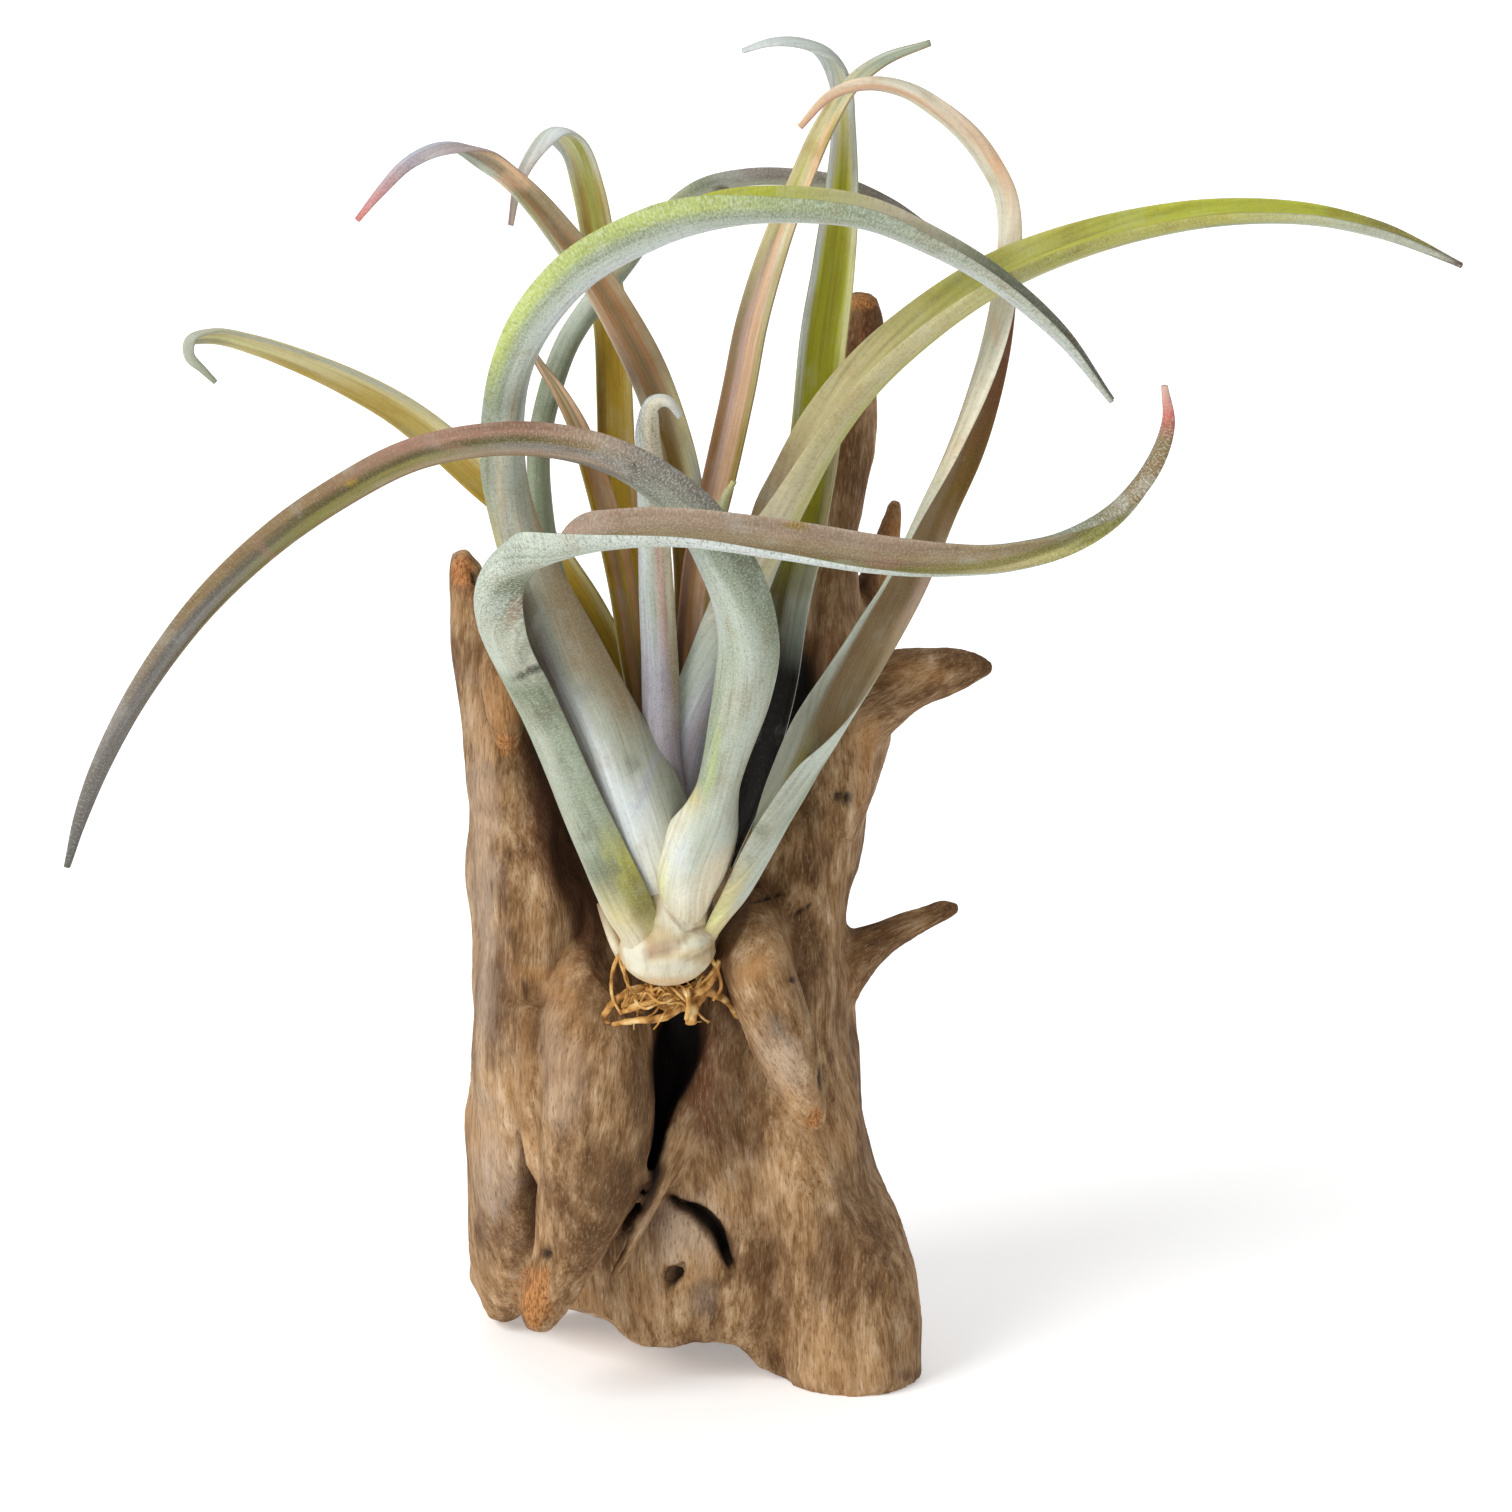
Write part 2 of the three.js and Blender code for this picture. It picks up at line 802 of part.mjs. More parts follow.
// Root strands: across, up, back, radius. All start inside the crown under the stem.
const ROOT_CROWN = {
  sides: 12,
  rings: 7,
  lump: 0.06,
  phase: 0.8,
  route: [
    [-5, 78.6, -1, 2.2, 2.6],
    [-5, 80.4, -1, 5.6, 4.6],
    [-5, 82.4, -1.4, 6.8, 5.4],
    [-5, 85, -1.8, 6, 5],
    [-5, 88, -2, 3.6, 3.4],
  ],
};
const ROOTS = [
  [[-9, 83, -3, 1], [-13.6, 82.6, -5, 0.9], [-17.4, 80, -6, 0.8], [-19.4, 77, -5, 0.7], [-17.8, 75.6, -3, 0.5]],
  [[-2, 81, -4, 1.1], [-4.6, 78.6, -6, 1], [-8, 76.8, -7, 0.9], [-13, 76.4, -6.6, 0.8], [-17.6, 75.6, -5, 0.6]],
  [[-3, 82, -5, 1], [0.6, 82.6, -6.6, 0.9], [3, 85.8, -6, 0.8], [3.6, 88.6, -3.6, 0.6]],
  [[-3, 81.6, -4, 1.4], [-1.6, 80, -6, 1.4], [-1.8, 77.6, -7, 1.3], [-1.8, 75.6, -7.2, 1.2]],
  [[-10, 84, -4, 1], [-14.6, 86.4, -5, 0.9], [-17, 90, -4.6, 0.8], [-17.8, 93.4, -3, 0.6]],
  [[-7, 82, -5, 0.9], [-10, 80, -7, 0.9], [-13.6, 79, -7, 0.8], [-16, 78, -6, 0.6]],
  [[-1, 83, -2, 1], [3, 81.6, -2, 0.9], [6, 79.6, 1, 0.8], [7.4, 77, 4, 0.7]],
  [[-10, 83, -1, 1], [-14.4, 80, 0, 0.9], [-18, 76, 1, 0.8], [-20.4, 72, 2, 0.7]],
];

const COLOURS = {
  driftwood: [0x94775a, 0.85],
  stem_base: [0xe6dcc0, 0.6],
  roots: [0xa9793f, 0.8],
  leaf_front_left: [0xa3a488, 0.7],
  leaf_left_drooping: [0x8e8a80, 0.7],
  leaf_right_curling: [0xb9a58c, 0.7],
  leaf_arch: [0xa9b58c, 0.7],
  leaf_small_centre: [0xd0ccc8, 0.7],
  leaf_small_tip: [0xb4bd97, 0.7],
  leaf_right_long: [0xa8a85c, 0.65],
  leaf_tall_brown: [0xa98a5f, 0.65],
  leaf_upper_left: [0x9c8468, 0.65],
  leaf_narrow_tan: [0xb08a5a, 0.65],
  leaf_tall_green: [0x8c9130, 0.6],
  leaf_back_grey: [0x8a8c7c, 0.7],
  leaf_left_olive: [0xa8a352, 0.65],
  leaf_back_yellow: [0xb4a83c, 0.65],
};

// A typed station as a point of the part.
function at(across, up, back) {
  const height = (up - back * Math.sin(VIEW_TILT)) / Math.cos(VIEW_TILT);
  return new THREE.Vector3(across - MIDDLE_X, back - MIDDLE_Y, height);
}

// Numbers typed at stations, read between them in straight steps.
function between(values, station) {
  const low = Math.min(Math.floor(station), values.length - 2);
  return THREE.MathUtils.lerp(values[low], values[low + 1], station - low);
}

// Where the channel opens to at a station, as a direction of the part.
function faceAt(faces, station) {
  let after = faces.findIndex(([stop]) => stop >= station);
  after = Math.max(after, 1);
  const [from, ...start] = faces[after - 1];
  const [to, ...end] = faces[after];
  const share = (station - from) / (to - from);
  const [x, up, front] = start.map((value, axis) => THREE.MathUtils.lerp(value, end[axis], share));
  return new THREE.Vector3()
    .addScaledVector(RIGHT, x)
    .addScaledVector(UP, up)
    .addScaledVector(FRONT, front);
}

function squareTo(direction, tangent) {
  return direction.clone().addScaledVector(tangent, -direction.dot(tangent)).normalize();
}

// One closed body from rings of points. Both faces of a blade are split along the same diagonals.
function loft(rings) {
  const count = rings[0].length;
  const half = count / 2;
  const triangles = [];
  for (let ring = 0; ring < rings.length - 1; ring++) {
    for (let side = 0; side < count; side++) {
      const a = ring * count + side;
      const b = ring * count + ((side + 1) % count);
      const c = b + count;
      const d = a + count;
      if (side < half) triangles.push(a, b, c, a, c, d);
      else triangles.push(a, b, d, b, c, d);
    }
  }
  const last = (rings.length - 1) * count;
  for (let side = 0; side < half - 1; side++) {
    const near = [side, side + 1, count - 2 - side, count - 1 - side];
    triangles.push(near[0], near[2], near[1], near[0], near[3], near[2]);
    const far = near.map((index) => index + last);
    triangles.push(far[0], far[1], far[2], far[0], far[2], far[3]);
  }
  return solid(rings.flat().flatMap((point) => point.toArray()), triangles);
}

function solid(positions, triangles) {
  const vertProperties = new Float32Array(positions);
  const triVerts = new Uint32Array(triangles);
  return new wasm.Manifold(new wasm.Mesh({ numProp: 3, vertProperties, triVerts }));
}

// Middle line of a leaf's section, an elliptical channel of width 1, as [side, rise, bend] rows.
function channel(cup) {
  const rows = [];
  for (let facet = 0; facet <= BLADE_FACETS; facet++) {
    const bend = RIM_ANGLE * ((2 * facet) / BLADE_FACETS - 1);
    const side = Math.sin(bend) / Math.sin(RIM_ANGLE) / 2;
    const rise = cup * ((1 - Math.cos(bend)) / (1 - Math.cos(RIM_ANGLE)) - 0.5);
    rows.push([side, rise, bend]);
  }
  return rows;
}

// Section of a leaf, with a thick keel and thin margins.
function bladeRing(centre, across, inward, wide, cup, grow) {
  const under = [];
  const over = [];
  for (const [side, rise, bend] of channel(cup)) {
    const slopeSide = Math.cos(bend) / Math.sin(RIM_ANGLE) / 2;
    const slopeRise = (cup * Math.sin(bend)) / (1 - Math.cos(RIM_ANGLE));
    const slope = Math.hypot(slopeSide, slopeRise);
    const edge = Math.abs(bend) / RIM_ANGLE;
    const thick = Math.min(THREE.MathUtils.lerp(BLADE_MIDDLE, BLADE_EDGE, edge), LEAST_BLADE + wide * TIP_FLATNESS);
    const half = thick / 2 + grow;
    const reach = edge > 0.99 ? Math.sign(bend) * grow : 0;
    const along = [(slopeSide / slope) * reach, (slopeRise / slope) * reach];
    const out = [(-slopeRise / slope) * half, (slopeSide / slope) * half];
    const place = (sign) =>
      centre
        .clone()
        .addScaledVector(across, side * wide + along[0] + sign * out[0])
        .addScaledVector(inward, rise * wide + along[1] + sign * out[1]);
    under.push(place(-1));
    over.unshift(place(1));
  }
  return [...under, ...over];
}

function leafSolid({ route, faces, cup, rings }, grow = 0) {
  const spine = new THREE.CatmullRomCurve3(route.map(([x, up, back]) => at(x, up, back)));
  const widths = route.map((station) => station[3]);
  const sections = [];
  for (let ring = 0; ring <= rings; ring++) {
    const share = ring / rings;
    const station = share * (route.length - 1);
    const tangent = spine.getTangent(share);
    const inward = squareTo(faceAt(faces, station), tangent);
    const across = new THREE.Vector3().crossVectors(inward, tangent);
    const seen = new THREE.Vector3().crossVectors(FRONT, tangent).normalize();
    const reaches = channel(cup).map(([side, rise]) => side * across.dot(seen) + rise * inward.dot(seen));
    const low = Math.min(...reaches);
    const high = Math.max(...reaches);
    const seenWidth = between(widths, station);
    const edges = Math.min(SEEN_EDGE, seenWidth / 2);
    const wide = (seenWidth - edges) / Math.max(high - low, LEAST_TURN);
    const end = ring === 0 ? -grow : ring === rings ? grow : 0;
    const centre = spine.getPoint(share).addScaledVector(tangent, end);
    centre.addScaledVector(seen, (-wide * (low + high)) / 2);
    sections.push(bladeRing(centre, across, inward, wide, cup, grow));
  }
  return loft(sections);
}

// A tapering limb of oval sections with low lumps round it.
function limbSolid({ route, sides, rings, lump, phase }, grow = 0) {
  const spine = new THREE.CatmullRomCurve3(route.map(([x, up, back]) => at(x, up, back)));
  const sections = [];
  for (let ring = 0; ring <= rings; ring++) {
    const share = ring / rings;
    const station = share * (route.length - 1);
    const tangent = spine.getTangent(share);
    const depth = squareTo(BACK, tangent);
    const across = new THREE.Vector3().crossVectors(depth, tangent);
    const halfWidth = between(route.map((row) => row[3]), station);
    const halfDepth = between(route.map((row) => row[4]), station);
    const end = ring === 0 ? -grow : ring === rings ? grow : 0;
    const centre = spine.getPoint(share).addScaledVector(tangent, end);
    const section = [];
    for (let side = 0; side < sides; side++) {
      const turn = (2 * Math.PI * side) / sides;
      const swell =
        Math.sin(2 * turn + 1.3 * station + phase) +
        0.7 * Math.sin(3 * turn - 1.9 * station + 2 * phase) +
        0.5 * Math.sin(5 * turn + 2.3 * station - phase);
      const size = 1 + lump * swell;
      section.push(
        centre
          .clone()
          .addScaledVector(across, Math.cos(turn) * (halfWidth * size + grow))
          .addScaledVector(depth, Math.sin(turn) * (halfDepth * size + grow)),
      );
    }
    sections.push(section);
  }
  return loft(sections);
}

function strandSolid(route) {
  const limb = { sides: STRAND_SIDES, rings: STRAND_STEPS, lump: 0, phase: 0 };
  return limbSolid({ ...limb, route: route.map(([x, up, back, radius]) => [x, up, back, radius, radius]) });
}

function join(solids) {
  return solids.reduce((joined, next) => joined.add(next));
}

// What the underside of the wood leaves free, as a prism along the front view's line of sight.
function undersideSolid(grow) {
  const edge = LOWER_EDGE.map(([across, up]) => new THREE.Vector2(across, up - grow));
  const [first, last] = [edge[0], edge[edge.length - 1]];
  const below = -UNDERSIDE_REACH / 2;
  const outline = [new THREE.Vector2(first.x, below), new THREE.Vector2(last.x, below), ...edge.reverse()];
  const prism = new THREE.ExtrudeGeometry(new THREE.Shape(outline), { depth: UNDERSIDE_REACH, bevelEnabled: false });
  prism.translate(-MIDDLE_X, 0, -UNDERSIDE_REACH / 2);
  prism.applyMatrix4(new THREE.Matrix4().makeBasis(RIGHT, UP, FRONT));
  prism.translate(0, -MIDDLE_Y, 0);
  return solidOf(prism);
}

function woodSolid(grow = 0) {
  const body = join(WOOD_BODY.map((limb) => limbSolid(limb, grow))).subtract(undersideSolid(grow));
  const limbs = join([body, ...WOOD_LIMBS.map((limb) => limbSolid(limb, grow))]);
  const hollows = join(WOOD_HOLLOWS.map((hollow) => limbSolid(hollow, -grow)));
  return limbs.subtract(hollows);
}

function solidOf(geometry) {
  geometry.deleteAttribute("normal");
  geometry.deleteAttribute("uv");
  const merged = mergeVertices(geometry);
  return solid([...merged.attributes.position.array], [...merged.index.array]);
}

function floorBlock() {
  const block = new THREE.BoxGeometry(FLOOR_BLOCK, FLOOR_BLOCK, FLOOR_BLOCK);
  return solidOf(block.translate(0, 0, -FLOOR_BLOCK / 2));
}

function largestBody(made) {
  return made.decompose().reduce((best, body) => (body.volume() > best.volume() ? body : best));
}

function meshOf(name, made) {
  const { vertProperties, triVerts } = made.getMesh();
  const geometry = new THREE.BufferGeometry()
    .setAttribute("position", new THREE.BufferAttribute(vertProperties, 3))
    .setIndex(new THREE.BufferAttribute(triVerts, 1));
  geometry.computeVertexNormals();
  const [color, roughness] = COLOURS[name];
  const mesh = new THREE.Mesh(geometry, new THREE.MeshStandardMaterial({ color, roughness, metalness: 0 }));
  mesh.name = name;
  return mesh;
}

const part = new THREE.Group();
part.add(meshOf("driftwood", largestBody(woodSolid().subtract(floorBlock())).asOriginal().simplify(WOOD_SEAM)));

// Each piece is cut clear of the wood and of every piece already placed.
let taken = woodSolid(GAP);
function place(name, made, grown) {
  part.add(meshOf(name, largestBody(made.subtract(taken)).asOriginal().simplify(BLADE_SEAM)));
  taken = taken.add(grown);
}
place("stem_base", limbSolid(STEM), limbSolid(STEM, GAP));
for (const [name, leaf] of Object.entries(LEAVES)) place(name, leafSolid(leaf), leafSolid(leaf, GAP));
const roots = join([limbSolid(ROOT_CROWN), ...ROOTS.map(strandSolid)]);
place("roots", roots, roots);

export default part;
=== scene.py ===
"""Looks of an air plant on driftwood: finer leaves, wood, roots and a sheath scrap over the CAD part.

Lengths are metres in the part's frame, +Z up and front towards -Y. The tables are in millimetres, placed
as the front view shows: across, up and how far back. Ovals have a middle, half width, half height, and a
lean in degrees.
"""

import math

import bmesh
import bpy
import numpy as np
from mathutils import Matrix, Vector, noise
from mathutils.bvhtree import BVHTree


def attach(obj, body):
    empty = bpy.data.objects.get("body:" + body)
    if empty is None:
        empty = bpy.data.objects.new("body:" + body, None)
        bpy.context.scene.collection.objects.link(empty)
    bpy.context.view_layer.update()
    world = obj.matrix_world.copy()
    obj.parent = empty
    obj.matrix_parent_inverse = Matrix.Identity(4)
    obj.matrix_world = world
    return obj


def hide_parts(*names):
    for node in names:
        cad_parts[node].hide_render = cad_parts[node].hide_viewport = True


MM = 0.001
VIEW_TILT = math.radians(18)  # the front view looks down by this much
MIDDLE = (12.2, 5.2)  # the typed across and back of the part's origin
RIGHT = np.array((1.0, 0.0, 0.0))
UP = np.array((0.0, math.sin(VIEW_TILT), math.cos(VIEW_TILT)))
FRONT = np.array((0.0, -math.cos(VIEW_TILT), math.sin(VIEW_TILT)))

# Leaf blades
RIM_ANGLE = 1.2  # half the bend of a leaf's channel
RING_STEP = 0.9 * MM  # along a leaf
COLUMNS = 22  # across a leaf, on each face
BLADE_MIDDLE = 1.2  # thickness along the keel, in millimetres
BLADE_EDGE = 0.62  # and at the margins
LEAST_BLADE = 0.45  # the most that a blade without width may have
TIP_FLATNESS = 0.36  # what a millimetre of width adds to that
LEAST_TURN = 0.5  # least share of a blade that is taken as turned to the viewer
SEEN_EDGE = 0.8  # part of the seen width that is the margins' thickness
SMOOTH_RINGS = 9  # rings over which a blade's width and turn are evened out
MEASURED_RINGS = 200  # for the length of a leaf
ROUNDED = 0.12  # share of a half blade's width that its rounded margin takes up
WAVER = 0.03  # share by which the width wavers
WAVER_LENGTH = 14 * MM
FACE_GAP = 40.0  # between the patterns of the two faces
LEAF_SEEDS = 97  # how many patterns the leaves may have

# The photograph's frame
FRAME_CENTRE = (11.2, 129.4)  # across and up at the middle of the picture, in typed millimetres
FRAME_WIDTH = 302.4 * MM
CAMERA_DISTANCE = 3.0
SENSOR = 36  # in millimetres
FLOOR_HALF = 6.0
FLOOR_GLOW = 0.3
WORLD_LIGHT = 0.38
# Lamps: name, place, what it points at, size in metres, watts
LAMPS = [
    ("key", (-2.8, -2.4, 2.8), (0, 0, 0.14), 2.4, 160),
    ("fill", (1.4, -1.6, 0.9), (0, 0, 0.14), 1.4, 1.5),
    ("backdrop", (0, 0.9, 1.4), (0, 1.2, 0), 1.2, 8),
]


def table(text):
    """Typed rows: commas part the rows, spaces their values, and name*3 is a name three times."""
    rows = []
    for line in filter(str.strip, text.split(",")):
        row = []
        for word in line.split():
            word, _, count = word.partition("*")
            row += [word if word[0].isalpha() else float(word)] * int(count or 1)
        rows.append(row)
    return rows


class Leaf:
    """A leaf as typed: stations of across, up, back and width seen, and where its channel opens to.

    Outer and inner name a face's colours at a station, from one margin to the other. Scurf is how scaly
    the outer and the inner face are. Marks are ovals of the front view with a colour and a strength.
    """

    def __init__(self, cup, route, faces, outer, inner, scurf, marks=""):
        self.cup = cup
        self.route = np.array(table(route))
        self.faces = np.array(table(faces))
        self.outer = table(outer)
        self.inner = table(inner)
        self.scurf = table(scurf)
        self.marks = table(marks)


# Where the inner faces of the back leaves begin, their dark brown is painted shade deep in the rosette
LEAVES = {}
LEAVES["leaf_front_left"] = Leaf(
    cup=0.55,
    route="""-10 88 -5 6.4, -12 94.6 -8.4 8.8, -14.4 100 -10 10.6, -18 108 -11 9.8, -22.4 118 -12 9,
    -28.8 133 -13 7.8, -34.2 144.6 -15 8.4, -38.8 155.6 -19 10, -39.4 162.6 -23 9.4, -35.8 168 -27 8.2,
    -28.4 171.8 -32 8, -18 174 -37 8, -4 174.4 -41 8, 16 172 -43 8.4, 34 169.2 -43.5 8.4, 48 168 -43 6.8,
    60 168.2 -42 6, 72 171 -40 5.2, 82 176.8 -38 4.6, 89 185.6 -36 3.8, 92.2 194.6 -34 3,
    91.4 202 -33 1.2""",
    faces="""0 0.5 0.3 -0.8, 3 0.7 0.1 -0.7, 7 0.95 0 -0.1, 8 0.7 0.2 -0.7, 9 0 0.3 -0.9,
    10 -0.35 0.85 0.05, 11 -0.1 0.8 0.55, 13 0.1 0.65 0.75, 15 0 0.45 0.9, 16 0 0.2 1, 17 0.1 -0.5 0.8,
    18 0.5 -0.8 0.1, 21 0.9 0 -0.4""",
    outer="""0 cream, 1 cream*4 straw, 2 cream*2 straw*2 olive, 3 frost mist moss*2 yellow_olive,
    4 frost sage mist sage*2, 5 mist sage*2 mist sage, 6 cream moss sage moss*2, 6.5 mist*3 silver mist,
    7.5 mist silver*2 mist*2, 8.5 silver*2 mist moss*2, 10 silver, 13 frost silver*4, 15 silver*2 sage*3,
    17 mist sage moss*3, 18.5 brown*2 grey brown*2, 19.6 grey brown grey brown*2, 20.2 red_tip, 21 pink""",
    inner="""0 cream, 7 tan pink_tan brown pink_tan rose_brown, 9 moss olive brown tan pink,
    11 olive brown tan brown pink_tan, 13 olive*2 brown tan pink_tan, 14.5 olive*2 brown tan pink_tan,
    16 straw olive*2 tan*2, 17.5 yellow_olive olive*2 brown tan, 19 grey brown*2 grey tan, 20.2 red_tip,
    21 pink""",
    scurf="""0 0.1 0.1, 2 0.25 0.1, 5 0.45 0.3, 6.5 0.5 0.4, 8 1 0.5, 13 1 0.5, 16 0.7 0.45, 19 0.9 0.8,
    20.4 0.3 0.3, 21 0.1 0.1""",
    # The crease marks are painted shade in the folds below the bend
    marks="""-33.4 146.2 4.2 0.9 -25 crease 0.9, -37 144.8 2.4 0.5 15 moss 0.5,
    -30.4 140.6 0.5 5.4 -20 crease 0.4, -36.2 158.4 1.5 5 24 rose_brown 0.55,
    19 174.6 2.6 0.9 0 gold 0.75, 36.4 167.2 4.4 1.3 0 rose_brown 0.75, -22.6 113.2 1.8 0.9 10 shade 0.5,
    -17 107.4 1.2 3 -20 moss 0.7, -11.8 102 2.3 6 -25 olive 0.75, -38.8 156 2.2 4.4 0 moss 0.3,
    -34.6 150 1.4 4 20 shade 0.35, -30.6 137 2.2 3 -25 shade 0.4, -26.6 127 1.6 4 -25 moss 0.5,
    -21.4 115 1.2 4 -25 shade 0.4, -36.6 162.6 2.4 1.6 40 moss 0.45, -39.6 160 1.2 4 0 shade 0.4,
    -36.4 168 2.4 3 40 shade 0.35""",
)
LEAVES["leaf_left_drooping"] = Leaf(
    cup=0.5,
    route="""-3.6 94 -7 3.6, -2.8 98.4 -9 9.6, -2.6 103.4 -11 15.4, -0.9 110.2 -13 16.4,
    1.4 115.6 -15 12.4, 2.8 120 -16.4 9.6, 3.9 124.4 -18 8.2, 6 132.4 -21 10.6, 8.2 140.6 -24 12.4,
    9.8 150.6 -26.5 13, 8.4 160.6 -28 12, 4.4 169.6 -29 11, -2 178.6 -29 9.4, -11 185.6 -29 7.8,
    -21 190 -29 7, -33 192 -28.5 6.8, -45 191.4 -28 6.6, -57 188.6 -27.5 6.6, -70 182 -27 6.6,
    -84 172.4 -28 6.4, -98 159.2 -29 5.8, -110 143.2 -30 4.8, -118 128.6 -31 4, -122.8 116.6 -31 3,
    -125.4 107.6 -31 1.2""",
    faces="""0 0 0.2 -1, 8 -0.1 0.1 -1, 11 0.5 0.3 -0.8, 13 0.5 0.6 -0.6, 15 0.1 0.9 -0.3, 17 0 1 -0.2,
    20 -0.5 0.8 -0.2, 24 -0.9 0.4 -0.2""",
    outer="""0 cream, 1 ivory cream*4, 2 butter ivory*2 cream*2, 3 ivory frost silver cream*2,
    4 ivory silver mist silver mist, 5 straw mist silver mist*2, 6 sage*2 mist silver mist,
    7 sage*2 mist silver mist, 8 sage mist*2 silver mist, 9 silver sage silver*2 sage,
    10 frost silver*2 sage moss, 11 frost silver*2 sage moss, 12 silver sage*2 mist grey,
    13 silver mist grey*3, 14 mist grey brown grey*2 pink_tan grey brown pink_tan,
    15 olive*3 brown*2 pink_tan grey dark_olive rose_brown,
    17 olive*3 brown*2 tan olive dark_olive rose_brown,
    18.5 dark_olive olive*2 brown*2 olive*2 dark_olive brown,
    20 dark_olive*2 olive brown*2 dark_olive grey dark_grey brown, 21.5 dark_grey*4 grey dark_grey grey,
    24 dark_grey""",
    inner="0 cream, 10 silver tan silver, 17 brown dark_brown brown, 24 dark_grey",
    scurf="""0 0.05 0.1, 2 0.15 0.1, 4 0.3 0.2, 7 0.45 0.3, 9 0.6 0.4, 11 0.8 0.5, 13 0.8 0.5, 14 0.5 0.4,
    15 0.3 0.25, 17 0.15 0.15, 20 0.2 0.25, 24 0.4 0.5""",
    marks="""-12.8 185 0.9 1.9 0 dark_brown 0.85, -9.6 182.6 3 1.6 -35 shade 0.35,
    -10.4 108.6 1.4 4.4 10 butter 0.7, 0 112.4 1.6 6 12 mist 0.6, 2.6 128 1 9 10 lime 0.5,
    -68.4 183 1 0.9 0 gold 0.7, -52 190.6 9 0.9 8 rose_brown 0.5, -88 172 9 0.9 38 rose_brown 0.5,
    -6 116 1.2 1.2 0 ivory 0.6""",
)
LEAVES["leaf_right_curling"] = Leaf(
    cup=0.45,
    route="""0.6 92 -5 2.4, 3.8 97.4 -7 3.8, 7.2 102.6 -7.6 5, 11.6 111.4 -8.4 6.8, 15.4 120 -9 8,
    20.2 130 -9 10, 23.8 136 -9 10.4, 28 142.4 -8.6 10, 35.2 153.6 -7.4 9.4, 41 163.2 -6 8.4,
    47.2 177.2 -3.6 7.8, 52.6 188.8 -1.6 7.4, 56.6 200.6 0 7, 59.8 214.6 1 6, 61.6 231.2 1 5,
    60.6 240.4 0.4 4.6, 57.4 246.6 -0.6 4.5, 53.2 252 -2 4.4, 47 257 -4 4, 40.4 260.6 -6 3.4,
    33 261.6 -8 2.9, 25.6 259.2 -9 2.2, 19.6 253 -10 1.3""",
    faces="""0 -0.7 0.3 -0.5, 3 -0.8 0.4 0, 5 -0.75 0.5 0.35, 7 -0.3 0.3 0.9, 8 0.2 -0.1 1,
    10 0.7 -0.3 0.6, 12 0.9 -0.1 0.3, 14 1 0 -0.1, 16 0.8 0.4 -0.4, 19 0.3 0.9 -0.3, 22 -0.6 0.7 -0.3""",
    outer="""0 straw, 1 butter straw*2 cream*2, 2 straw silver*2 cream*2, 3 mist silver mist silver*2,
    4 mist sage*2 mist silver, 5 silver sage mist silver*2, 7 silver*2 sage*3, 8 brown tan*2 mist silver,
    9.5 brown tan pink_tan tan mist, 11 tan pink_tan pink tan cream, 12.5 peach cream ivory*3,
    14 peach*2 ivory*3, 16 peach ivory*3 peach, 19 peach ivory*2 peach ivory, 22 peach*2 red_tip peach*2""",
    inner="""0 olive, 4.5 dark_olive*7 olive mist, 6 tan brown*7 mist, 7.5 tan brown*7 silver,
    9 pink_tan brown*7 silver, 10.5 dark_gold*2 brown*5 tan mist, 13 rust*3 orange_brown tan,
    15 pink*4 cream, 22 peach*2 pink peach cream""",
    scurf="0 0.05 0, 3 0.35 0.05, 7 0.45 0.1, 11 0.4 0.1, 13 0.12 0.04, 22 0.1 0.1",
    marks="""3.6 97.8 1.6 1.6 0 butter 0.6, 6 106 0.8 1.8 0 moss 0.6, 12 114.6 1.6 2.6 -30 moss 0.55,
    9.8 109 0.7 1.4 -30 shade 0.3, 59.6 228 1.2 3 0 peach 0.6, 58.4 214 0.9 4 -10 peach 0.5""",
)
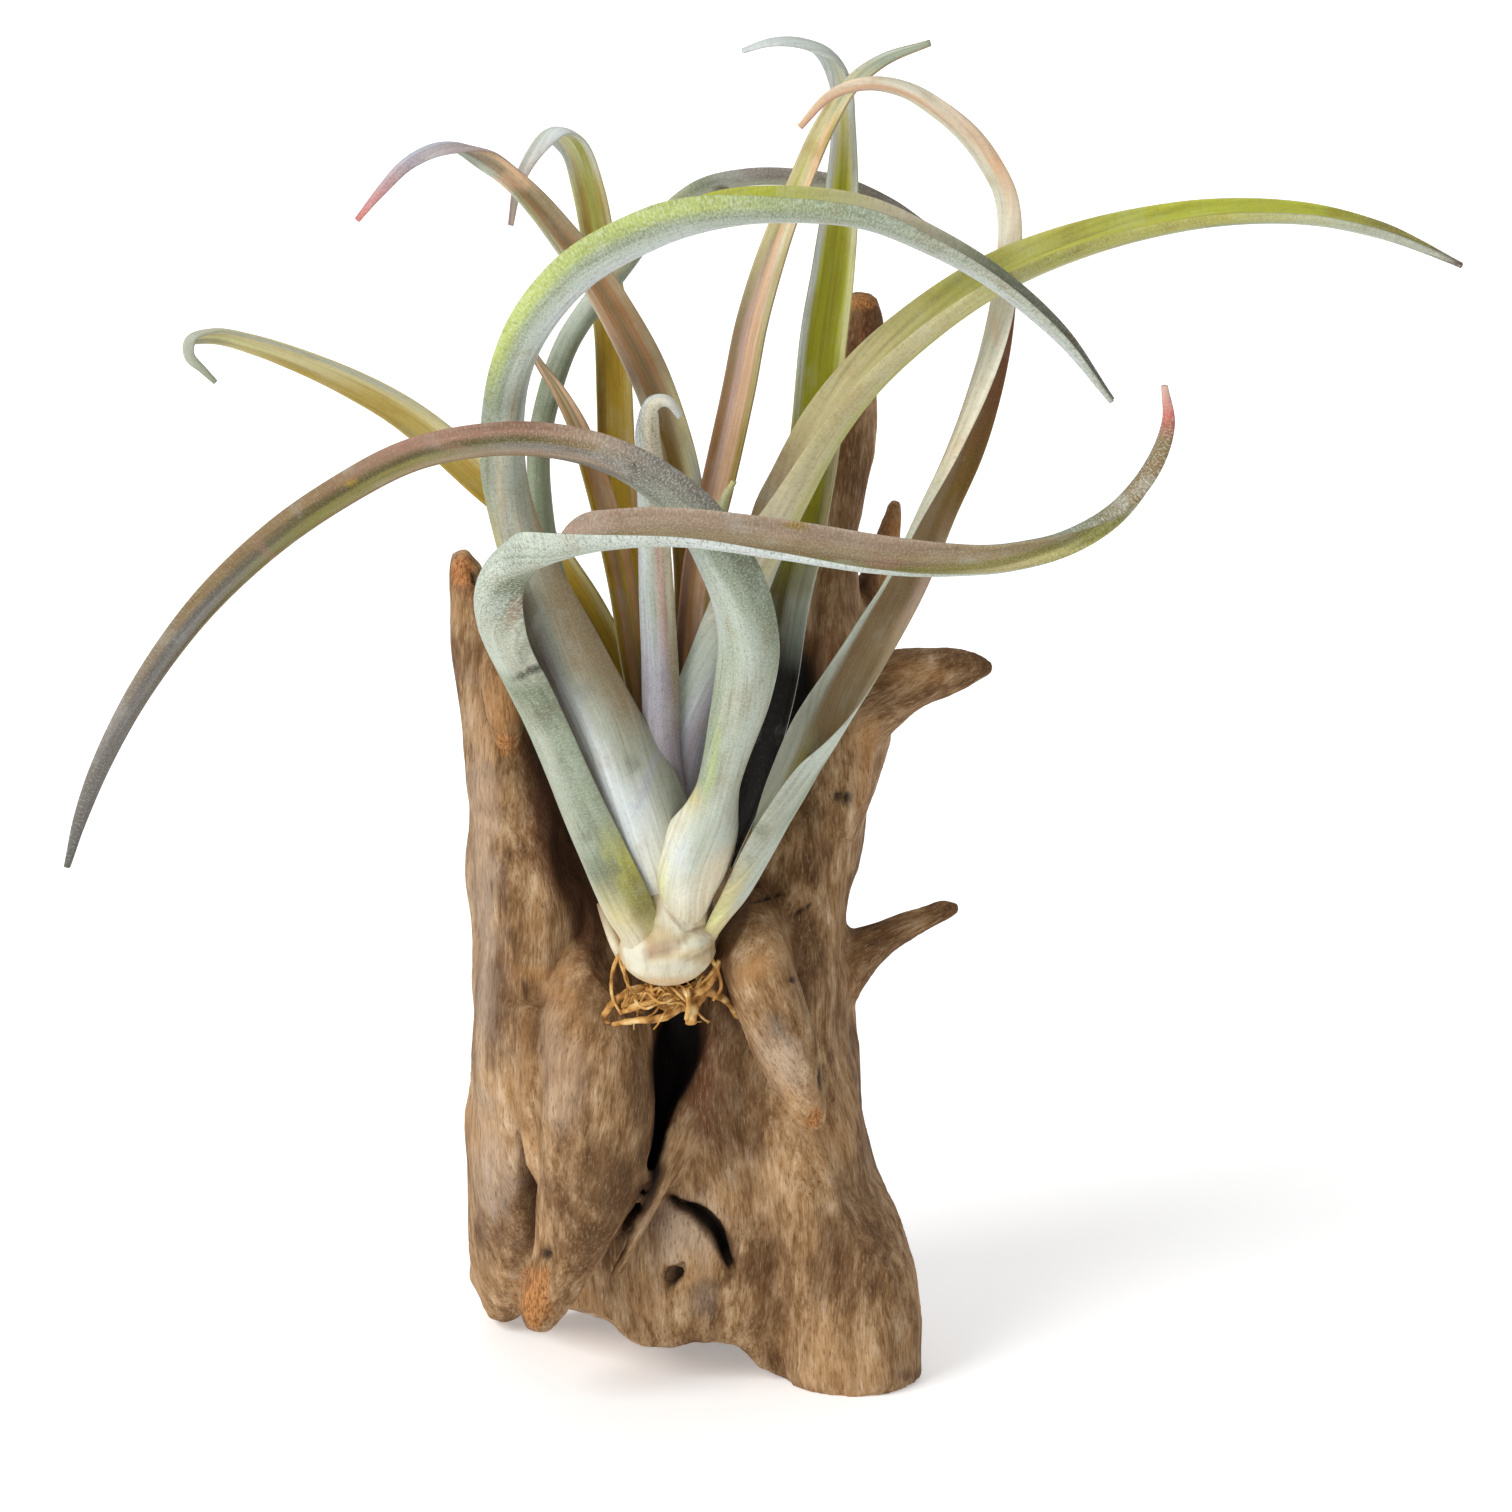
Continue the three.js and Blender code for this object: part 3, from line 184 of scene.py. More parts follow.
LEAVES["leaf_arch"] = Leaf(
    cup=0.6,
    route="""-5.6 99.6 -3 12, -7.8 110.6 -6 17.4, -11.9 121.6 -7.6 17.8, -15.8 130 -8.4 15.6,
    -20 138.6 -9 14.4, -25.8 149.6 -9 14.6, -31.2 161.4 -10 12, -35.6 172.6 -12 10, -38.6 184 -14 9.4,
    -38.8 197 -17 8.6, -36.4 208 -20 8.4, -31.6 217 -22 8.6, -23.2 225.6 -24 8.7, -10.4 232.4 -25 8.4,
    1 236 -26 7.8, 14 237.6 -26 7.8, 32 236.2 -25 7, 46 230.6 -22 5.8, 58.3 223.6 -19 5, 71.6 212.4 -16 4,
    81.6 199.6 -14 1.2""",
    faces="""0 0.5 0 -0.8, 5 0.3 0 -1, 7 0 0 -1, 9 -0.5 0 -0.8, 11 -0.7 0.4 -0.5, 13 -0.3 0.9 -0.2,
    15 0 1 0.3, 17 0.4 0.9 0.4, 20 0.6 0.7 0.5""",
    outer="""0 frost ivory*4, 1 frost*3 ivory mist, 2 frost*4 mist, 3 frost*3 mist*2,
    4 frost*2 mist*2 tan, 5 frost lilac mist tan*2, 6 silver mist*2 tan*2, 7 straw silver cream mist tan,
    8 sage silver cream silver*2 mist*3 tan, 9 sage*2 silver cream silver*2 frost mist tan,
    10 lime sage silver*4 frost mist*2, 11 lime sage silver frost*6, 12 lime sage silver frost*6,
    14 lime sage silver frost*6, 16 sage*2 silver frost*5 mist, 18 mist frost*5 mist,
    20 silver frost lilac frost*2 mist grey""",
    inner="""0 sage, 8 lime, 12 lime*4 fresh, 15 lime*4 fresh, 16.5 olive*2 straw tan cream,
    18 dark_olive*2 moss sage moss, 20 dark_grey*3 grey*2""",
    scurf="0 0.1 0.2, 2 0.15 0.2, 4 0.3 0.3, 7 0.5 0.3, 10 0.6 0.3, 13 0.7 0.25, 16 0.75 0.3, 20 0.7 0.5",
    # The lilac streak is painted shadow, and the last two frost marks are a painted highlight along the
    # sheath
    marks="""-13.6 127.6 1.8 2.2 0 shade 0.45, -10.6 124 1 7.6 20 lilac 0.65,
    -22.6 142.2 1.9 1.9 0 shade 0.3, -24.6 147.6 1.4 1.4 0 tan 0.3, -33 154 1 5 22 frost 0.5,
    -38 176 0.8 4 0 frost 0.4, -23 135 2.4 12 -27 frost 0.6, -17.6 121 3 8 -25 frost 0.5""",
)
LEAVES["leaf_small_centre"] = Leaf(
    cup=0.45,
    route="""-5.6 120.6 -3 6, -7.4 131.6 -5 8, -7.8 146.6 -6 8, -8.4 160.6 -8 7.6, -9 174.6 -10 6.6,
    -9.6 186.6 -12 5.8, -10 194.2 -13 5, -8.8 198.6 -14 3.8, -6.4 199 -14.5 2.6, -4 196.2 -14.5 1.2""",
    faces="0 0.1 0.1 -1, 6 0.3 0 -0.9, 7 0.7 -0.5 -0.4, 8 0.3 -0.9 -0.2, 9 -0.5 -0.8 -0.2",
    outer="""0 mauve, 1 mauve, 2 lilac*3 mauve tan, 3 frost*2 silver pink cream,
    4 frost*2 silver pink cream, 5 frost silver*2 pink cream, 6 mist lilac mist cream*2,
    7 frost mist frost cream*2, 9 frost""",
    inner="0 silver, 9 frost",
    scurf="0 0.3 0.3, 3 0.45 0.3, 5 0.9 0.4, 6.4 0.9 0.4, 8 0.2 0.2, 9 0.1 0.1",
)
LEAVES["leaf_small_tip"] = Leaf(
    cup=0.4,
    route="""6 128.6 -6 3.5, 6.6 142.6 -8 4, 6 156.6 -9 4, 4.4 168.6 -9 3.6, 3.8 175.6 -9.5 3,
    5 180.6 -10 2, 6.8 183.8 -10.5 1""",
    faces="0 -0.2 0 -1, 6 -0.4 0.1 -0.9",
    outer="0 sage mauve*2 sage tan, 3 sage*4 tan, 6 straw*2 lime straw*2",
    inner="0 sage, 6 straw",
    scurf="0 0.4 0.3, 6 0.25 0.2",
)
LEAVES["leaf_right_long"] = Leaf(
    cup=0.5,
    route="""-2 110.6 0 8, -3.4 126.6 0 9, -1 139.6 -1 10, 3.2 150.6 -2 10, 7.4 160.6 -3 10,
    11.6 170.6 -4 10, 17 181.6 -5 9.8, 24 194.6 -6 9.6, 32.4 205.4 -7 9.4, 44 215.6 -8 9, 56 223.6 -8 8.6,
    68 229 -8.5 8, 84 233.8 -9 6.8, 102 236.6 -10.5 5.8, 120 236.2 -12.5 4.6, 134 233 -14 3.6,
    142 229.8 -15 2.6, 150 226 -15 1.2""",
    faces="""0 0.1 0.1 -1, 3 -0.5 0.3 -0.8, 5 -0.9 0.4 0, 7 -0.8 0.6 0.4, 10 -0.5 0.8 0.5, 13 0 0.9 0.5,
    17 0.3 0.9 0.3""",
    outer="""0 mist mauve lilac*3, 1.5 silver lilac mauve lilac*2, 3 silver*2 lilac mist silver,
    5 cream straw mist*3, 7 straw yellow_olive straw*3, 9 straw yellow_olive straw yellow_olive straw,
    11 yellow_olive straw sage straw yellow_olive, 13 yellow_olive sage mist sage yellow_olive,
    15 mist silver mist*3, 16.4 mist moss*2 olive*2, 17 dark_brown*2 grey*3""",
    inner="""0 tan, 4 mist straw tan orange_brown tan, 6 mist cream tan pink_tan tan,
    7 straw cream tan pink_tan straw, 8 straw cream straw yellow_olive straw,
    9.5 straw yellow_olive fresh yellow_olive*2, 11 yellow_olive fresh*3 yellow_olive,
    12.5 yellow_olive fresh*4, 14 sage fresh*4, 15 silver mist moss olive*2, 16.2 mist*2 moss*2 olive,
    17 dark_brown grey*4""",
    scurf="0 0.3 0.3, 4 0.3 0.2, 8 0.4 0.2, 12 0.4 0.1, 14 0.3 0.1, 17 0.6 0.5",
    marks="-0.6 126 1.2 9 12 mauve 0.5",
)
LEAVES["leaf_tall_brown"] = Leaf(
    cup=0.25,
    route="""-1 112.6 3 6, -2.4 132.6 4.5 7, -1.6 152.6 4.5 7, 0 168.6 4 7, 3.8 184.6 3 7.2,
    7.6 201.6 2 7.2, 10.4 215.6 2 7, 15 230.6 1 6.2, 19.6 242.2 0 5.2, 24.4 253 -1 4.8, 29.6 261.2 -1 4,
    36 266.2 -1 3.2, 45.4 269.6 -2 1.4""",
    faces="0 -0.35 0.1 1, 12 -0.4 0.2 0.9",
    outer="0 tan, 12 tan",
    inner="""0 dark_brown, 1.6 rose_brown pink rose_brown orange_brown dark_brown,
    3 sand peach*2 orange_brown rose_brown, 4.5 sand peach*2 pink orange_brown, 6 straw peach*2 pink tan,
    7 straw cream peach tan straw, 8 peach straw*2 yellow_olive straw, 9 sand peach straw*3,
    9.6 straw*2 sage straw*2, 11 sage*4 silver, 12 sage""",
    scurf="0 0 0.02, 6 0.05 0.05, 10 0.2 0.2, 12 0.2 0.2",
    marks="22.6 249 1.3 2.2 0 sand 0.4, 23.6 244.8 0.6 3.4 -20 peach 0.7",
)
LEAVES["leaf_upper_left"] = Leaf(
    cup=0.25,
    route="""-2 110.6 5 6, -1.8 132.6 8 7, -1.4 152.6 9 8, -1.6 168.6 8.5 8, -3.4 184.6 6 8,
    -6.6 196 4 8.4, -10.4 206 3 8.4, -16 216.6 2 8, -21.2 225 2 7.4, -26.4 231.6 1 6.6, -32.2 238.6 0 5.6,
    -38 244 -1 4.8, -44 247.6 -1 4.2, -50.4 248.8 -1.5 3.6, -57 246 -2.5 3.2, -62.4 240.6 -4 2.6,
    -67.2 234.8 -5 1.2""",
    faces="0 0 0.1 1, 9 0.2 0.1 1, 11 0.5 -0.2 0.8, 12 0.4 -0.8 0.2, 13 0.2 -0.9 -0.4, 16 0.8 -0.4 -0.5",
    outer="0 tan, 9 pink_tan lilac silver, 14 mauve lilac silver, 16 red_tip",
    inner="""0 dark_brown, 2.4 brown*2 dark_gold*3, 4 mist straw dark_gold*3,
    5 straw tan brown dark_gold cream, 6 tan orange_brown brown orange_brown pink_tan,
    7 tan orange_brown brown orange_brown peach, 8.5 tan orange_brown brown orange_brown cream,
    10 tan*2 brown orange_brown straw, 11 peach tan brown tan mist, 12.5 brown pink_tan*2 grey silver,
    14.5 grey silver lilac silver mauve, 16 red_tip*2 mauve red_tip*2""",
    scurf="0 0 0.02, 8 0.1 0.08, 12 0.35 0.35, 16 0.4 0.4",
    marks="-37 242.6 4 2.2 0 peach 0.7",
)
LEAVES["leaf_narrow_tan"] = Leaf(
    cup=0.3,
    route="""-6.4 110.6 1 5, -10 132.6 4 6, -13.4 150.6 5 6, -15.6 164.6 5 6, -18.8 178.6 4 6,
    -21.2 186.6 3.5 5.4, -24 194.6 2.5 4.4, -28 202 1.5 3, -31 206.2 1 2.4, -34.4 211.6 1 1""",
    faces="0 0.2 0.1 1, 9 0.3 0.2 1",
    outer="0 tan, 9 tan",
    inner="""0 dark_brown, 1.6 dark_gold brown orange_brown*2 dark_gold,
    3 orange_brown gold brown orange_brown gold, 5 orange_brown rose_brown orange_brown*2 gold,
    7 peach tan straw tan peach, 9 pink_tan tan*3 pink""",
    scurf="0 0 0, 9 0.05 0.1",
)
LEAVES["leaf_tall_green"] = Leaf(
    cup=0.25,
    route="""3 108.6 2 8, 8.4 122.6 3 10, 13.2 140.6 4 12, 16.6 160.6 5 11.5, 20.4 176.6 5 11,
    23 192.6 6 10.6, 24.4 210.6 6 10.2, 26.6 226.6 6 9.2, 28.2 242.6 6 7, 28.4 254.2 5 5,
    27.6 262.2 4 4.6, 24.8 267.2 2 4.4, 20 269.2 0 3.4, 14 269.2 -3 2.6, 8.6 267.6 -4 1.2""",
    faces="0 0 0.1 1, 9 0 0 1, 10 -0.6 -0.1 0.7, 11 -0.7 -0.6 0.2, 12 -0.2 -0.9 -0.2, 14 0.2 -1 -0.2",
    outer="""0 silver, 3 silver sage silver, 5 yellow_olive, 7.6 yellow_olive, 9 silver sage silver,
    14 frost*2 mauve""",
    # The inner face is near black at the base and dark olive above it: painted shade deep among the leaves
    inner="""0 pitch, 2.3 pitch, 3 silver mist dark_olive*3, 4 straw olive deep_olive*6 moss,
    5 cream yellow_olive deep_olive*6 yellow_olive, 6 butter fresh deep_olive*6 frost,
    7 butter fresh deep_olive*5 fresh frost, 8 silver straw fresh deep_olive*3 fresh straw frost,
    9 silver straw yellow_olive straw frost, 10 frost silver straw silver frost,
    11 frost*2 silver*2 frost, 14 frost*2 silver frost mauve""",
    scurf="0 0 0, 3 0 0, 5 0.1 0.05, 8 0.1 0.05, 11 0.25 0.2, 14 0.3 0.3",
)
LEAVES["leaf_back_grey"] = Leaf(
    cup=0.4,
    route="""-7 105 0.5 5, -15.6 131.6 7 5, -23.4 150.6 7 5, -29.4 166.6 6 5, -31.8 180.6 6 5,
    -32 191.6 7 5, -29.6 203 9 5, -26.4 211.6 10 5, -21.6 219 11 5, -15.6 226.6 11.5 4.6, -9 234.6 12 4,
    0 242 12.5 3.8, 9 244.2 13 3.8, 18 244.4 14 3.6, 28 243 14 3.4, 38 238.8 13 2.8, 46 233.6 11.5 2.2,
    57 227 9 1.2""",
    faces="0 0.3 0.1 -0.9, 6 -0.5 0.2 -0.8, 10 -0.5 0.6 -0.6, 13 0 0.9 -0.4, 17 0.5 0.8 -0.3",
    outer="""0 sage moss sage, 6 moss*2 sage, 8 silver sage*2, 9.5 straw sage*2, 11 moss mist*2,
    12 grey mist mauve, 14 grey mist mauve, 16 dark_grey*2 moss, 17 grey""",
    inner="0 moss, 17 dark_grey",
    scurf="0 0.15 0.2, 9 0.25 0.2, 12 0.35 0.3, 17 0.3 0.3",
    marks="4.4 241.6 1.8 0.8 0 dark_brown 0.8",
)
LEAVES["leaf_left_olive"] = Leaf(
    cup=0.3,
    route="""-6 106 1 5, -13.6 138 11 6, -19.4 154.6 12 6, -27 166.6 13 6.4, -36 177.6 14 7.2,
    -44 185 14 8, -52 192.2 14 7.6, -60 198.2 14 7, -69 203.2 14 6.2, -79 207.6 13.5 5.2,
    -88.8 211 12.5 4.2, -96.4 212.6 11 3.4, -100.8 211.6 8.5 3, -100.8 208.6 5.5 2.4, -98.4 206.2 4 2,
    -95.8 203.6 3 1""",
    faces="""0 -0.2 0.1 1, 5 -0.2 -0.4 0.9, 10 -0.1 -0.5 0.85, 11 0 -0.8 0.5, 12 0.6 -0.4 -0.2,
    13 0.7 0.2 -0.6, 15 0.5 0.5 -0.7""",
    outer="0 straw, 9 straw, 12 mist, 15 moss",
    inner="""0 dark_brown dark_gold*3 dark_brown, 1.5 sand gold*3 dark_gold, 4 straw sand gold*3,
    6 straw*2 sand*3, 7.5 mist straw sand*3, 9 mist straw*3 sand, 10.5 mist straw*2 butter straw,
    12 mist*2 straw*2 mist, 15 moss""",
    scurf="0 0 0, 8 0.15 0.06, 15 0.25 0.25",
)
LEAVES["leaf_back_yellow"] = Leaf(
    cup=0.22,
    route="""-4.4 105 1.2 6, -10 128.6 14 8, -12.4 148.6 17 8, -14.4 168.6 17.5 8, -16.4 186 18 8,
    -17 201 18 7.8, -17.6 214.6 18 7.6, -19.6 228.2 19 7.4, -22.2 242.2 18.5 7, -25 249.8 16.5 5.8,
    -28.8 252.2 13.5 4.4, -32.4 248.6 11 3.4, -35.6 242.6 9.5 2.6, -37.2 234.4 8 1.2""",
    faces="""0 0 0.1 1, 8 -0.1 0.1 1, 9 -0.3 -0.3 0.9, 10 -0.2 -0.9 0.1, 11 0.5 -0.6 -0.6,
    13 0.6 -0.1 -0.8""",
    outer="""0 sage, 5 yellow_olive, 7 yellow_olive*2 lime, 8.6 butter lime straw, 10 frost silver frost,
    13 pink_tan grey red_tip""",
    inner="""0 dark_brown, 1.6 orange_brown gold*2 dark_gold*2, 3 orange_brown gold*3 dark_gold,
    5 sand gold*3 dark_gold, 6 straw gold*7 sand,
    7 straw gold yellow_olive sand yellow_olive*2 gold*2 straw, 8 straw sand yellow_olive*4 sand*2 butter,
    9 frost butter yellow_olive*2 butter*3 cream frost, 10 frost ivory*3 frost, 13 frost*2 silver frost*2""",
    scurf="0 0 0, 8 0.12 0.05, 13 0.2 0.2",
)
# A dry papery rest of an old sheath
SCRAP = Leaf(
    cup=0.5,
    route="-14.6 88 -5.4 3, -16.8 92 -5.4 4.4, -18.6 96.4 -4 3.4, -20 100 -2.4 0.8",
    faces="0 -0.4 0 -1, 3 -0.6 0 -0.8",
    outer="0 tan, 1 cream tan brown, 3 brown*2 tan",
    inner="0 tan, 3 brown",
    scurf="0 0 0, 3 0 0",
)
# Wood whose grain leaves the upright, with the radius along each limb
LIMBS = list(map(table, (
    "-23 88 18 9, -21 69 5 13, -20.8 57 1 13, -24.4 36 -3.5 10, -33 13.6 -8.4 5",
    "8 99 15 7, 14.2 79 -3 8, 18 69 -7.6 6.6, 22.7 54.8 -12.8 4",
    "26 133 26 7, 36 142 24.5 8, 49 146.4 23 6, 58.6 147 22 3",
    "27 86 26 6, 37 92.8 24 5, 52.4 99 22.2 3",
    "-17.6 24 -6.2 2, -11.4 39 -1.6 3.6, -4.6 56 6.6 5.4",
    "-38.5 130.8 7.6 3, -39.8 144 14 4.4",
)))
# Wood added where two limbs grow together, with its radius
FILLS = list(map(table, (
    "-37 80 10 3, -36.6 70 10 4.6, -36.4 58 11 4.8, -36.2 46 13 4.2, -36 35 17 3.4, -38 23 26 1.6",
    "-34 79 6 3, -33.6 70 4.4 4, -33 60 3.4 3.8, -32 48 3 3, -28 36 2 2",
    "20.4 153 25 3, 18 142 28 5.6, 15.5 128 30 6",
)))
# Hollows that hardly any light reaches, painted darker as shade: ovals and a strength
SHADED = table("""-5 69 5.6 12 12 0.85, -8.6 53 1.6 12 6 0.7, -9.6 42 1.4 7 24 0.6, 15.5 134 7 22 18 0.85,
    -27.6 116 6 30 -14 0.64, 3.2 33 2.4 9 -38 0.45, 6.5 95 2.6 9 25 0.6""")
# Torn places: ovals
TORN = table("""-33.6 20.4 4.2 8 10, -47.6 166.4 2.4 3.6 0, -38.7 131.6 2.6 2.4 0, 33.4 220.4 4.2 2.2 -15,
    23 56.8 1.7 2.8 10""")
# Knot holes and cracks: ovals and a depth
HOLES = table("""27.8 121.4 0.9 1.3 0 1.2, 29.8 120.8 1 1.4 0 1.4, 21.2 161.2 0.7 2.6 0 0.9,
    -5.2 24.4 1 3 34 2, -31 29.4 1.2 1.2 0 0.8, 24.2 65 0.6 2.8 0 0.5, 18.6 84.6 0.8 0.8 0 0.4,
    13.6 100.8 3.6 0.35 -14 0.5, 20.4 98.4 3.4 0.35 -32 0.5, -45.4 165 0.6 1.8 -20 0.9""")
# Colour that the weather left, with painted shade and painted highlight among it: the umber on the right and
# lower side of the bulge and in the sunken middle, and the rust beside the pocket and in the trough left of
# the front leaf, are painted shade; the bone on the left edge, the bulge and the hanging spike, and the
# broad amber on the bulge's left, are painted highlight. Ovals, a colour and a strength
STAINS_AND_PAINTED_LIGHT = table("""-17 42 9 13 26 umber 0.6, 1 66 5 14 0 rust 0.6, -27 62 5 11 8 bone 0.35,
    -30 81 5 4 0 amber 0.4, -27.6 112 6 30 -16 rust 0.6, -31 85.6 7 2.4 0 amber 0.5,
    -35 72.6 2 10 0 amber 0.4, -43 128 2.6 30 2 amber 0.3, -39.4 139 3.6 8 4 amber 0.75,
    -42 126.6 4 3 0 ash 0.5, -40 118 7 2 10 umber 0.35, -38 94 1.6 3.2 -20 umber 0.8,
    -39.6 89 1.2 6 -25 rust 0.4, -19 44.6 7.6 9 30 umber 0.45, -24 33 4 6 30 umber 0.4,
    -42 46.6 6 14 0 bone 0.45, -43 44.6 1 9 -8 bone 0.4, -44.6 100 5 46 0 bone 0.6,
    36 141 8 6 0 umber 0.6, -12 60 3.4 18 -4 umber 0.75, -16 42 5 9 30 umber 0.7,
    -13.6 38 2 12 22 umber 0.5, -30 72 3.6 12 0 bone 0.3, -27 70 7 12 10 amber 0.25,
    -1 64 6 15 0 umber 0.85, 8 58 8 16 0 umber 0.55, -3 34 10 9 -20 bone 0.5, 0.6 19.4 3.6 4.2 0 ash 0.6,
    6 32 2.6 2.4 0 umber 0.5, 27 32 1.6 5 -20 umber 0.45, 25 22 9 6 0 umber 0.2,
    34 22 1.6 2.6 0 umber 0.4, 41 4 3.4 1.4 20 umber 0.6, 44 13 1.2 5 0 umber 0.5,
    17 68 4.4 9 -25 bone 0.5, 15.6 74.6 2.6 3.8 -30 ash 0.8, 11 87 4.4 3 -30 amber 0.55,
    22.6 112 3 14 -8 umber 0.5, 34 125 3.4 14 0 amber 0.45, 24.4 117.6 1 1.6 0 umber 0.6,
    25.2 110 0.9 1.8 0 umber 0.6, 22.4 104.6 0.9 2.4 0 umber 0.6, 30 186 7 42 0 umber 0.55,
    33 214 5 6 0 rust 0.5, 25 150 4 10 0 rust 0.5, 44 146 7 2.4 0 amber 0.4, 58 147 2.4 1.6 0 umber 0.6,
    39 170 4 12 0 amber 0.9, -47 165 3 4 0 rust 0.5, -47.6 166.6 1.8 3 0 red_tip 0.8""")
# The round of the stem base: an oval without a lean
BOWL = (-6.8, 93, 10.4, 9.6)
# Folds of the stem base: ovals and a height
FOLDS = table("""-7 88.6 13 5.6 0 1.7, -0.4 92.6 1.5 4.4 66 1.3, -7 90.4 1 4 72 -0.5,
    -15.4 92 1.4 4 -10 0.5""")
# Marks on the stem base: ovals, a colour and a strength. Some are painted light: shade under the lip (tan),
# in the fold behind it (pink_tan) and along the lower rim (peach), and a highlight near the bottom (the
# broad ivory)
STEM_MARKS = table("""-14.6 96 2 6 -20 peach 0.3, -9 98 3 4 -25 olive 0.3, -4.4 98 4 5 -20 ivory 0.9,
    -13 90 3 4.4 -20 ivory 0.9, -6 87 8 2 0 ivory 0.8, -5 84 10 1.2 0 peach 0.4,
    -7.4 91 1.6 4.6 72 pink_tan 0.7, -5.2 96.9 0.45 3.6 -39 brown 0.6, -0.2 95 0.4 3 72 brown 0.7,
    -0.4 92.6 1.5 4.2 66 ivory 0.95, 0.4 90 0.6 3.6 66 tan 0.7, 3 89 1 4 -10 tan 0.6,
    -16.4 91 0.8 4 -10 orange_brown 0.4""")
ROOTLETS = 26
ROOT_MIDDLE = (-6.4, -1.4)  # across and back
# Roots that stand out, with their radius
ROOT_STRANDS = [
    (0.55, "-17.4 99 -3.6, -16.8 93 -5.6, -15.8 88 -6.4, -14.4 83 -7, -15.6 79 -7.4"),
    (0.5, "-15.6 91 -6.4, -17.4 86.6 -6.2, -17.6 81.4 -6.8, -15.8 77.6 -7.4"),
    (0.45, "-16.8 95 -5, -14.8 90 -7, -15 85 -7.6, -12.6 81 -8"),
    (0.5, "1.5 90 -6, 3.4 86.6 -6, 4.2 83 -6.4, 2.6 80.4 -6.8"),
    (0.45, "3.8 88.4 -5.4, 2 85.6 -7, -0.6 83.2 -7.8"),
    (0.85, "-3 83 -8, -2.2 80 -8.4, -2.8 76.6 -8"),
]
TUBE_SIDES = 6
FILL_SIDES = 16
ROOT_RINGS = 22
ROOT_SEED = 11
# How fine the skins grown over the solids are, and how often they are softened
WOOD_VOXEL, WOOD_SOFTENINGS = 0.92 * MM, 4
STEM_VOXEL, STEM_SOFTENINGS = 0.42 * MM, 3
ROOT_VOXEL, ROOT_SOFTENINGS = 0.28 * MM, 2
WELD_GAP = 0.002 * MM
# The wood's relief: sizes of its flutes and lumps, and of its fibres across and along with their seed
FLUTES = (8 * MM, 8 * MM, 60 * MM)
LUMPS = 13 * MM
GROOVES = (3.6, 34, 5.2)
FINE_FIBRES = (1.7, 8, 9.4)
# How the grain wanders: size, reach in millimetres, and seeds
WARP_SIZE = 26 * MM
WARP_REACH = 2.2
WARP_SEEDS = (3.1, 7.7, 12.3)
LIMB_EDGE = (0.95, 1.3)  # in radii of a limb, where its own grain fades out
LIMB_STEP = 0.11  # between the grain patterns of two limbs
SKY_RAYS = 14  # rays that tell how open the surface is at a point
SKY_SPREAD = 0.85  # how far the rays lean, from 0 for straight out to 1 for flat
SKY_REACH = 34 * MM
RAY_START = 0.4 * MM

LIGHT_ALLOWANCE = 0.84  # the light makes surfaces this much paler than the screen values
# Surface colours, as screen values; the near-black last one and the crease colour are painted shade
PALETTE = table("""frost 222 229 228, ivory 234 231 210, cream 228 217 188, butter 232 230 164,
    straw 212 201 148, silver 198 207 192, mist 184 187 168, sage 160 170 146, moss 130 138 112,
    shade 112 116 104, lime 186 200 116, fresh 186 190 62, yellow_olive 186 184 92, olive 146 138 70,
    deep_olive 160 158 16, dark_olive 94 84 36, gold 180 146 36, dark_gold 140 108 40, sand 190 166 88,
    tan 174 153 118, pink_tan 184 158 136, rose_brown 162 124 102, orange_brown 174 130 86,
    brown 142 118 80, dark_brown 84 56 34, lilac 188 188 200, mauve 170 158 166, grey 140 132 124,
    dark_grey 106 102 98, pink 216 182 166, peach 240 198 160, red_tip 206 118 108, crease 66 66 50,
    amber 190 136 82, umber 92 62 34, rust 116 62 40, ash 122 110 100, bone 206 184 162,
    buttermilk 212 193 152, pitch 20 14 9""")


def linear(colour):
    """A screen colour as light, with its alpha."""
    share = np.array(colour, float) / 255
    light = np.where(share <= 0.04045, share / 12.92, ((share + 0.055) / 1.055) ** 2.4)
    return (*light.tolist(), 1.0)


TINTS = {name: np.array(linear(colour)[:3]) * LIGHT_ALLOWANCE for name, *colour in PALETTE}


def at(rows):
    """Typed (across, up, back) rows as points of the part."""
    across, up, back = np.asarray(rows, float)[:, :3].T
    height = (up - back * math.sin(VIEW_TILT)) / math.cos(VIEW_TILT)
    return np.stack([across - MIDDLE[0], back - MIDDLE[1], height], axis=1) * MM


def unit(rows):
    return rows / np.linalg.norm(rows, axis=-1, keepdims=True)


def square_to(directions, tangents):
    along = (directions * tangents).sum(axis=1, keepdims=True)
    return unit(directions - along * tangents)


def smooth_step(low, high, values):
    share = np.clip((values - low) / (high - low), 0, 1)
    return share * share * (3 - 2 * share)


def evened(rows, count):
    """Rows averaged with their neighbours along the first axis."""
    padded = np.concatenate([np.repeat(rows[:1], count, 0), rows, np.repeat(rows[-1:], count, 0)])
    sums = np.cumsum(np.concatenate([np.zeros_like(padded[:1]), padded]), axis=0)
    window = 2 * count + 1
    return (sums[window:] - sums[:-window]) / window


